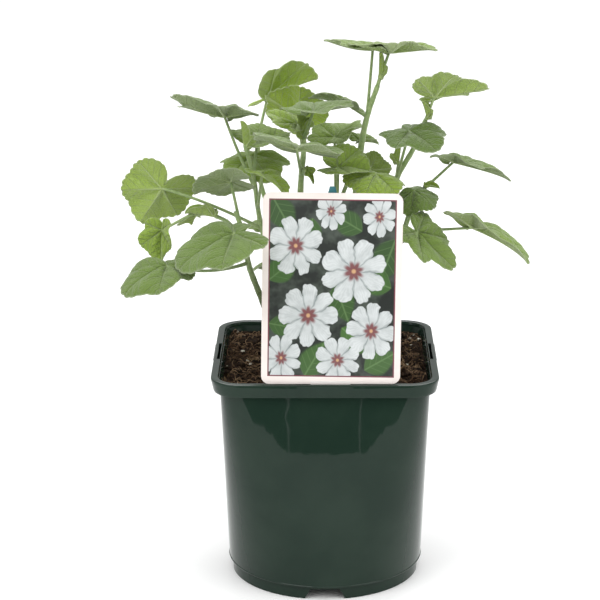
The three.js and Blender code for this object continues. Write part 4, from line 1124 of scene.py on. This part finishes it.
def pot_rings(height, half, wall):
    """Rings of the pot's skin: from the foot up the outside, over the lip and down the inside"""
    skirt_foot = height - BAND
    inner_top, inner_foot = height - 6.5, 9

    def round_ring(radius, level):
        return rounded_square(radius, radius, level)

    def wall_at(level, inset=0.0):
        share = (level - FOOT_TOP) / (skirt_foot - FOOT_TOP)
        size = BASE_RADIUS + (WALL_HALF - BASE_RADIUS) * share - inset
        corner = BASE_RADIUS + (WALL_CORNER - BASE_RADIUS) * share - inset
        return rounded_square(size, min(corner, size), level)

    def rim(inset, level):
        return rounded_square(half - inset, RIM_CORNER - inset, level)

    # Each pair is an inset and a level, or what is added to or taken from a level
    foot = [(1.8, 4), (1.8, 0.3), (1.5, 0), (0.4, 0), (0.1, 0.2), (0, 0.6), (0, FOOT_TOP - 0.3),
            (-0.3, FOOT_TOP)]
    step_over_foot = [(0.5, 0), (-0.1, 0.2), (-0.3, 0.5), (-0.3, 0.9), (0, 1.2)]
    under_rim = [(half - WALL_HALF - 0.3, height - wall), (wall + 0.4, height - wall)]
    band_foot = [(3, 0), (2.8, -0.1), (1.8, 0), (FLARE, 0.3)]
    lip = [(0.1, 0.45), (0.35, 0.12), (0.8, 0), (4.1, 0), (4.4, 0.1), (4.6, 0.4)]
    return [
        *[round_ring(FOOT_RADIUS - inset, level) for inset, level in foot],
        *[wall_at(FOOT_TOP + rise, inset) for inset, rise in step_over_foot],
        *[wall_at(FOOT_TOP + (skirt_foot - FOOT_TOP) * step / 10) for step in range(1, 11)],
        *[rim(inset, level) for inset, level in under_rim],
        *[rim(inset, skirt_foot + rise) for inset, rise in band_foot],
        *[rim(FLARE * (1 - step / 4), skirt_foot + (BAND - 0.9) * step / 4)
          for step in range(1, 5)],
        *[rim(inset, height - drop) for inset, drop in lip],
        *[wall_at(inner_top - (inner_top - inner_foot) * step / 4, wall) for step in range(5)],
        round_ring(BASE_RADIUS - 4, 6),
    ]


def pot_cutters(height, half):
    """What is cut out of the pot on each side: a slot, a notch in the foot and a drain hole"""
    drain_out = 38 * math.sqrt(0.5)
    cutters = []
    for quarter in range(4):
        slot = prism([(-16.5, -1), (0, -0.75), (16.5, -1), (16.5, 1), (0, 0.75), (-16.5, 1)],
                     height - 3, height + 1)
        bmesh.ops.translate(slot, vec=(0, SLOT_INSET - half, 0), verts=slot.verts)
        notch = prism([(-13.3, -1), (13.3, -1), (10, 5), (9.4, 6.4), (8, 7), (-8, 7),
                       (-9.4, 6.4), (-10, 5)], 0, 10)
        bmesh.ops.rotate(notch, matrix=Matrix.Rotation(math.pi / 2, 3, "X"), verts=notch.verts)
        bmesh.ops.translate(notch, vec=(0, 5.8 - FOOT_RADIUS, 0), verts=notch.verts)
        drain = bmesh.new()
        bmesh.ops.create_cone(drain, cap_ends=True, segments=32, radius1=5, radius2=5, depth=8)
        bmesh.ops.translate(drain, vec=(drain_out, drain_out, 5), verts=drain.verts)
        for cutter in (slot, notch, drain):
            bmesh.ops.transform(cutter, matrix=quarter_turn(quarter), verts=cutter.verts)
            cutters.append(cutter)
    return cutters


def box_on_each_side(bm, size, place):
    """Adds the same box on all four sides of the pot"""
    shape = place @ Matrix.Diagonal((*size, 1))
    for quarter in range(4):
        bmesh.ops.create_cube(bm, size=1, matrix=quarter_turn(quarter) @ shape)


def add_pockets(bm, height):
    """Adds the floor and the two end walls of the pocket under each slot"""
    deep, middle = 4.2, -66.1
    for x, width, tall, down in ((0, 37, 1.5, 7.25), (-17.7, 1.6, 6.5, 4.75),
                                 (17.7, 1.6, 6.5, 4.75)):
        box_on_each_side(bm, (width, deep, tall), Matrix.Translation((x, middle, height - down)))


def add_relief(bm, height, half):
    """Adds the raised panel and the ribs, which lean with the band of the rim"""
    draft = Matrix.Rotation(math.atan(FLARE / BAND), 4, "X")
    panel = (0, 34, 7.6, 0.25)
    ribs = [(x, 0.5, 7.4, 0.38) for x in (-15.5, -9, 9, 15.5)]
    low_ribs = [(x, 0.5, 7.4, 0.14) for x in (-44, -31, 31, 44)]
    for x, width, tall, proud in (panel, *ribs, *low_ribs):
        on_band = Matrix.Translation((x, FLARE / 2 - half, height - BAND / 2))
        out = Matrix.Translation((0, 0.5 - proud, 0))
        box_on_each_side(bm, (width, 1, tall), on_band @ draft @ out)


class MallowPot(bpy.types.Operator):
    """Builds the square-topped nursery pot"""

    bl_idname = "mallow.pot"
    bl_label = "Pot"

    def execute(self, context):
        settings = context.scene.mallow_pot
        height = settings.height / MM
        half = settings.rim_width / MM / 2
        bm = bmesh.new()
        skin_rings(bm, pot_rings(height, half, settings.wall / MM))
        bm = cut_away(bm, pot_cutters(height, half))
        add_pockets(bm, height)
        add_relief(bm, height, half)
        piece = finished("nursery_pot", bm, [pot_material(settings)], smooth=32)
        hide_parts("pot")
        return {"FINISHED"}


class MixTop:
    """The uneven top of the potting mix, and random places on it"""

    half, corner = 63.1, 12.7

    def __init__(self, height):
        self.height = height
        self.draw = random.Random(11)

    def level(self, x, y):
        """Height of the mix at a place"""
        humps = math.sin(x / 13 + 0.6) * math.cos(y / 11 - 0.4)
        crumbs = 0.55 * math.sin(x / 4.3 + y / 6.1) + 0.45 * math.cos(y / 3.7 - x / 7.3)
        fine = noise.turbulence(Vector((x / 4, y / 4, 3.1)), 5, False)
        return self.height + 1.3 * (humps + crumbs) + 2.0 * (fine - 0.6)

    def kept_in(self, x, y, margin):
        """The place itself, or the nearest one that keeps the margin from the pot's wall"""
        inner = self.half - self.corner
        reach = self.corner - margin
        out = Vector((max(abs(x) - inner, 0), max(abs(y) - inner, 0)))
        if out.length > reach:
            out *= reach / out.length
        return (math.copysign(min(abs(x), inner) + out.x, x),
                math.copysign(min(abs(y), inner) + out.y, y))

    def spot(self, margin):
        """A random place on the mix"""
        x = self.draw.uniform(-self.half, self.half)
        y = self.draw.uniform(-self.half, self.half)
        return self.kept_in(x, y, margin)


def mix_body(top):
    """The mix without crumbs: up along the wall of the pot, then in to the middle of its top"""
    side_points, steps = 76, 56
    floor_radius, low_radius = 57.6, 59.8
    rings = [even_ring(floor_radius, floor_radius, 6.5, side_points)]
    for step in range(5):
        share = step / 4
        rings.append(even_ring(low_radius + 2.4 * share,
                               low_radius + (top.corner - low_radius) * share,
                               10 + (top.height - 15) * share, side_points))
    edge = even_ring(top.half, top.corner, top.height, side_points)
    rings.append([Vector((p.x, p.y, max(top.level(p.x, p.y), top.height - 1))) for p in edge])
    for step in range(1, steps):
        share = 1 - step / steps
        rings.append([Vector((p.x * share, p.y * share, top.level(p.x * share, p.y * share)))
                      for p in edge])
    bm = bmesh.new()
    skin_rings(bm, rings)
    return bm


def add_crumb(bm, top, number):
    """Adds one loose crumb, of which every ninth is larger and every twenty-third a pale speck"""
    draw = top.draw
    x, y = top.spot(1.6)
    size = draw.uniform(0.4, 1.4) if number % 9 else draw.uniform(1.4, 2.6)
    made = bmesh.ops.create_icosphere(bm, subdivisions=1, radius=size)["verts"]
    stretch = (draw.uniform(0.7, 1.5), draw.uniform(0.7, 1.3), draw.uniform(0.5, 0.9))
    bmesh.ops.scale(bm, vec=stretch, verts=made)
    for vert in made:
        vert.co *= 1 + 0.35 * noise.noise(vert.co * 1.3 + Vector((number, 0, 0)))
    turned = Matrix.Rotation(draw.uniform(0, ANY_TURN), 3, "Z")
    turned = turned @ Matrix.Rotation(draw.uniform(-0.6, 0.6), 3, "X")
    bmesh.ops.rotate(bm, matrix=turned, verts=made)
    bmesh.ops.translate(bm, vec=(x, y, top.level(x, y) + size * 0.15), verts=made)
    if number % 23 == 0:
        for face in {face for vert in made for face in vert.link_faces}:
            face.material_index = 2


def add_fibre(bm, top):
    """Adds one curved fibre that lies on the mix, inside the pot"""
    draw = top.draw
    x, y = top.spot(2)
    heading = draw.uniform(0, ANY_TURN)
    bend = draw.uniform(-0.6, 0.6)
    length = draw.uniform(3, 11)
    path = []
    for step in range(6):
        lift = 0.7 + 1.2 * math.sin(math.pi * (step / 5)) * draw.uniform(0.6, 1.0)
        px, py = top.kept_in(x, y, 0.8)
        path.append(Vector((px, py, top.level(px, py) + lift - 0.4)))
        x += math.cos(heading) * length / 5
        y += math.sin(heading) * length / 5
        heading += bend
    radius = draw.uniform(0.09, 0.25)
    directions = [(b - a).normalized() for a, b in zip(path, path[1:])]
    directions.append(directions[-1])
    rings = []
    for centre, direction in zip(path, directions):
        side = direction.cross(Vector((0, 0, 1))).normalized()
        rings.append(hoop(centre, radius, side, side.cross(direction), 4))
    strand = bmesh.new()
    skin_rings(strand, rings)
    for face in strand.faces:
        face.material_index = 1
    held = as_mesh("strand", strand)
    bm.from_mesh(held)
    bpy.data.meshes.remove(held)


class MallowMix(bpy.types.Operator):
    """Builds the potting mix with its crumbs, fibres and pale specks"""

    bl_idname = "mallow.mix"
    bl_label = "Potting mix"

    def execute(self, context):
        settings = context.scene.mallow_mix
        top = MixTop(context.scene.mallow_pot.height / MM - settings.depth / MM)
        bm = mix_body(top)
        for number in range(settings.crumbs):
            add_crumb(bm, top, number)
        for _ in range(settings.fibres):
            add_fibre(bm, top)
        piece = finished("potting_mix", bm,
                         [mix_material(settings), fibre_material(), speck_material()], smooth=60)
        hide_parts("soil")
        return {"FINISHED"}


class MallowStems(bpy.types.Operator):
    """Builds the leafy stems, each one grown piece with its stalks, petioles and blades"""

    bl_idname = "mallow.stems"
    bl_label = "Leafy stems"

    def execute(self, context):
        settings = context.scene.mallow_leaves
        materials = [leaf_top_material(settings), leaf_under_material(settings),
                     stalk_material(settings)]
        count = 0
        for name, stem in LEAFY_STEMS.items():
            meshes, spots = [], []
            for number, points in enumerate(stem["stalks"]):
                mesh, path = stalk_mesh(points, number)
                meshes.append(mesh)
                spots += dense(path)
            for row in stem["leaves"]:
                count += 1
                row["seed"] = count * 1.7
                row["shape"] = FORMS[row["form"]]
                meshes.append(petiole_mesh(row, spots))
                meshes.append(blade_mesh(row, settings))
            piece = join_meshes("leafy_" + name, meshes, materials)
            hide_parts(name)
        return {"FINISHED"}


class MallowLabel(bpy.types.Operator):
    """Builds the picture label that leans in the front slot of the rim"""

    bl_idname = "mallow.label"
    bl_label = "Picture label"

    def execute(self, context):
        settings = context.scene.mallow_label
        pot_height = context.scene.mallow_pot.height / MM
        rim_half = context.scene.mallow_pot.rim_width / MM / 2
        half = settings.width / MM / 2
        tall = settings.height / MM
        corner, thickness, steps = 5, 0.8, 12
        outline = []
        for number, (x, y) in enumerate(((half - corner, corner), (half - corner, tall - corner),
                                         (corner - half, tall - corner), (corner - half, corner))):
            for step in range(steps + 1):
                turn = (number - 1 + step / steps) * math.pi / 2
                outline.append((x + corner * math.cos(turn), y + corner * math.sin(turn)))
        level = math.tan(settings.tilt)
        outline = [(x, y - level * (half - x) * max(0, 1 - y / 40)) for x, y in outline]
        bm = prism(outline, -thickness / 2, thickness / 2)
        edges = [edge for edge in bm.edges
                 if all(abs(abs(vert.co.z) - thickness / 2) < 1e-4 for vert in edge.verts)
                 and abs(edge.verts[0].co.z - edge.verts[1].co.z) < 1e-4]
        bmesh.ops.bevel(bm, geom=edges, offset=0.18, offset_type="OFFSET", segments=2,
                        profile=0.5, affect="EDGES", material=-1)
        card = bm.loops.layers.uv.new("card")
        for face in bm.faces:
            face.material_index = 0 if face.normal.z > 0.2 else 1
            for loop in face.loops:
                loop[card].uv = (loop.vert.co.x / CARD_SPAN, loop.vert.co.y / CARD_SPAN)
        bmesh.ops.rotate(bm, matrix=Matrix.Rotation(-settings.tilt, 3, "Z"), verts=bm.verts)
        bmesh.ops.rotate(bm, matrix=Matrix.Rotation(math.pi / 2 - settings.lean, 3, "X"),
                         verts=bm.verts)
        slot_y = SLOT_INSET - rim_half
        foot = pot_height + 0.1 + half * math.sin(settings.tilt)
        bmesh.ops.translate(bm, vec=(LABEL_ASIDE, slot_y, foot), verts=bm.verts)
        tongue = bmesh.ops.create_cube(bm, size=1)["verts"]
        bmesh.ops.scale(bm, vec=(24, thickness, 6), verts=tongue)
        bmesh.ops.translate(bm, vec=(LABEL_ASIDE, slot_y, pot_height - 1), verts=tongue)
        for face in {face for vert in tongue for face in vert.link_faces}:
            face.material_index = 1
        piece = finished("picture_label", bm,
                         [picture_material(settings), plastic_back_material()], smooth=30)
        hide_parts("plant_label")
        return {"FINISHED"}


class MallowStake(bpy.types.Operator):
    """Gives the plain stake its plastic"""

    bl_idname = "mallow.stake"
    bl_label = "Stake"

    def execute(self, context):
        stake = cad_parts["plant_stake"]
        stake.data.materials.clear()
        stake.data.materials.append(stake_material())
        return {"FINISHED"}


# The camera's place in metres, how far its frame is shifted as a share of the frame's width, and
# the spot that the lamps are aimed at
EYE = (0, -1.309, 0.553)
FRAME_SHIFT = -25 / 600
LAMP_AIM = (0, 0, 0.2)


def lamp(name, power, size, place):
    """A soft rectangular lamp"""
    light = bpy.data.lights.new(name, "AREA")
    light.energy = power
    light.shape = "RECTANGLE"
    light.size, light.size_y = size
    made = in_scene(name, light)
    made.location = place
    towards = Vector(LAMP_AIM) - Vector(place)
    made.rotation_euler = towards.to_track_quat("-Z", "Y").to_euler()


def dark_card():
    """The dark card in front of the pot: a middle and two wings, with a thin gap between them for
    each pale streak in the pot's gloss"""
    bm = bmesh.new()
    before, high, streak, gap = -0.294, 0.09, 0.031, 0.0009
    edge = [(0.034, 0.0), (0.052, 0.02), (0.08, 0.036), (0.155, 0.05), (0.3, high)]
    wing = [(streak + gap, high), (streak + gap, 0.0), *edge]
    inner = streak - gap
    middle = [(-inner, 0.0), (inner, 0.0), (inner, high), (-inner, high)]
    for outline in ([(-x, z) for x, z in wing], wing, middle):
        bm.faces.new([bm.verts.new((x, before, z)) for x, z in outline])
    card = in_scene("dark_card", as_mesh("dark_card", bm))
    card.data.materials.append(dark_card_material())
    return card


class MallowStage(bpy.types.Operator):
    """Sets the camera, the soft light and the plain pale floor"""

    bl_idname = "mallow.stage"
    bl_label = "Stage"

    def execute(self, context):
        settings = context.scene.mallow_stage
        bm = bmesh.new()
        bmesh.ops.create_grid(bm, x_segments=2, y_segments=2, size=6)
        floor = in_scene("floor", as_mesh("floor", bm))
        floor.data.materials.append(floor_material())

        camera = bpy.data.cameras.new("camera")
        camera.lens = settings.focal_length
        camera.sensor_width = 36
        camera.clip_end = 50
        camera.shift_x = FRAME_SHIFT
        view = in_scene("camera", camera)
        view.location = EYE
        view.rotation_euler = (math.pi / 2 - settings.pitch, 0, 0)
        context.scene.camera = view

        world = bpy.data.worlds.new("surroundings")
        world.use_nodes = True
        world.node_tree.nodes["Background"].inputs["Color"].default_value = (1, 1, 1, 1)
        around = GroupShader(world.node_tree)
        upward = around.node("TexCoord").outputs["Generated"]
        upward = around.node("SeparateXYZ", {"Vector": upward}).outputs[2]
        around.feed(world.node_tree.nodes["Background"].inputs["Strength"],
                    around.ramp(upward, 0.0, 1.0, settings.horizon, settings.sky, smooth=False))
        context.scene.world = world
        context.scene.view_settings.view_transform = "Standard"

        card = dark_card()
        card.visible_camera = card.visible_diffuse = card.visible_shadow = False
        card.visible_transmission = False

        lamp("key", settings.key, (1.0, 1.0), (-0.9, -1.0, 1.5))
        lamp("fill", settings.key * 0.8, (1.2, 1.2), (1.2, -0.9, 1.2))
        lamp("back", settings.key * 0.8, (1.4, 0.8), (0.3, 1.3, 1.3))
        return {"FINISHED"}


OPERATORS = [MallowStage, MallowPot, MallowMix, MallowStems, MallowLabel, MallowStake]


class MallowPanel(bpy.types.Panel):
    """Lists the steps that build the potted tree mallow"""

    bl_idname = "VIEW3D_PT_mallow"
    bl_label = "Tree mallow"
    bl_space_type = "VIEW_3D"
    bl_region_type = "UI"
    bl_category = "Tree mallow"

    def draw(self, context):
        for operator in OPERATORS:
            self.layout.operator(operator.bl_idname)


SETTINGS = {
    "mallow_pot": MallowPotSettings,
    "mallow_mix": MallowMixSettings,
    "mallow_leaves": MallowLeafSettings,
    "mallow_label": MallowLabelSettings,
    "mallow_stage": MallowStageSettings,
}


def register():
    for group in (*SETTINGS.values(), *OPERATORS, MallowPanel):
        bpy.utils.register_class(group)
    for name, group in SETTINGS.items():
        setattr(bpy.types.Scene, name, PointerProperty(type=group))


def unregister():
    for name in SETTINGS:
        delattr(bpy.types.Scene, name)
    for group in (MallowPanel, *reversed(OPERATORS), *reversed(list(SETTINGS.values()))):
        bpy.utils.unregister_class(group)


def main():
    register()
    bpy.ops.mallow.stage()
    bpy.ops.mallow.pot()
    bpy.ops.mallow.mix()
    bpy.ops.mallow.stems()
    bpy.ops.mallow.label()
    bpy.ops.mallow.stake()
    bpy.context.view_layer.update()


if __name__ == "__main__":
    main()
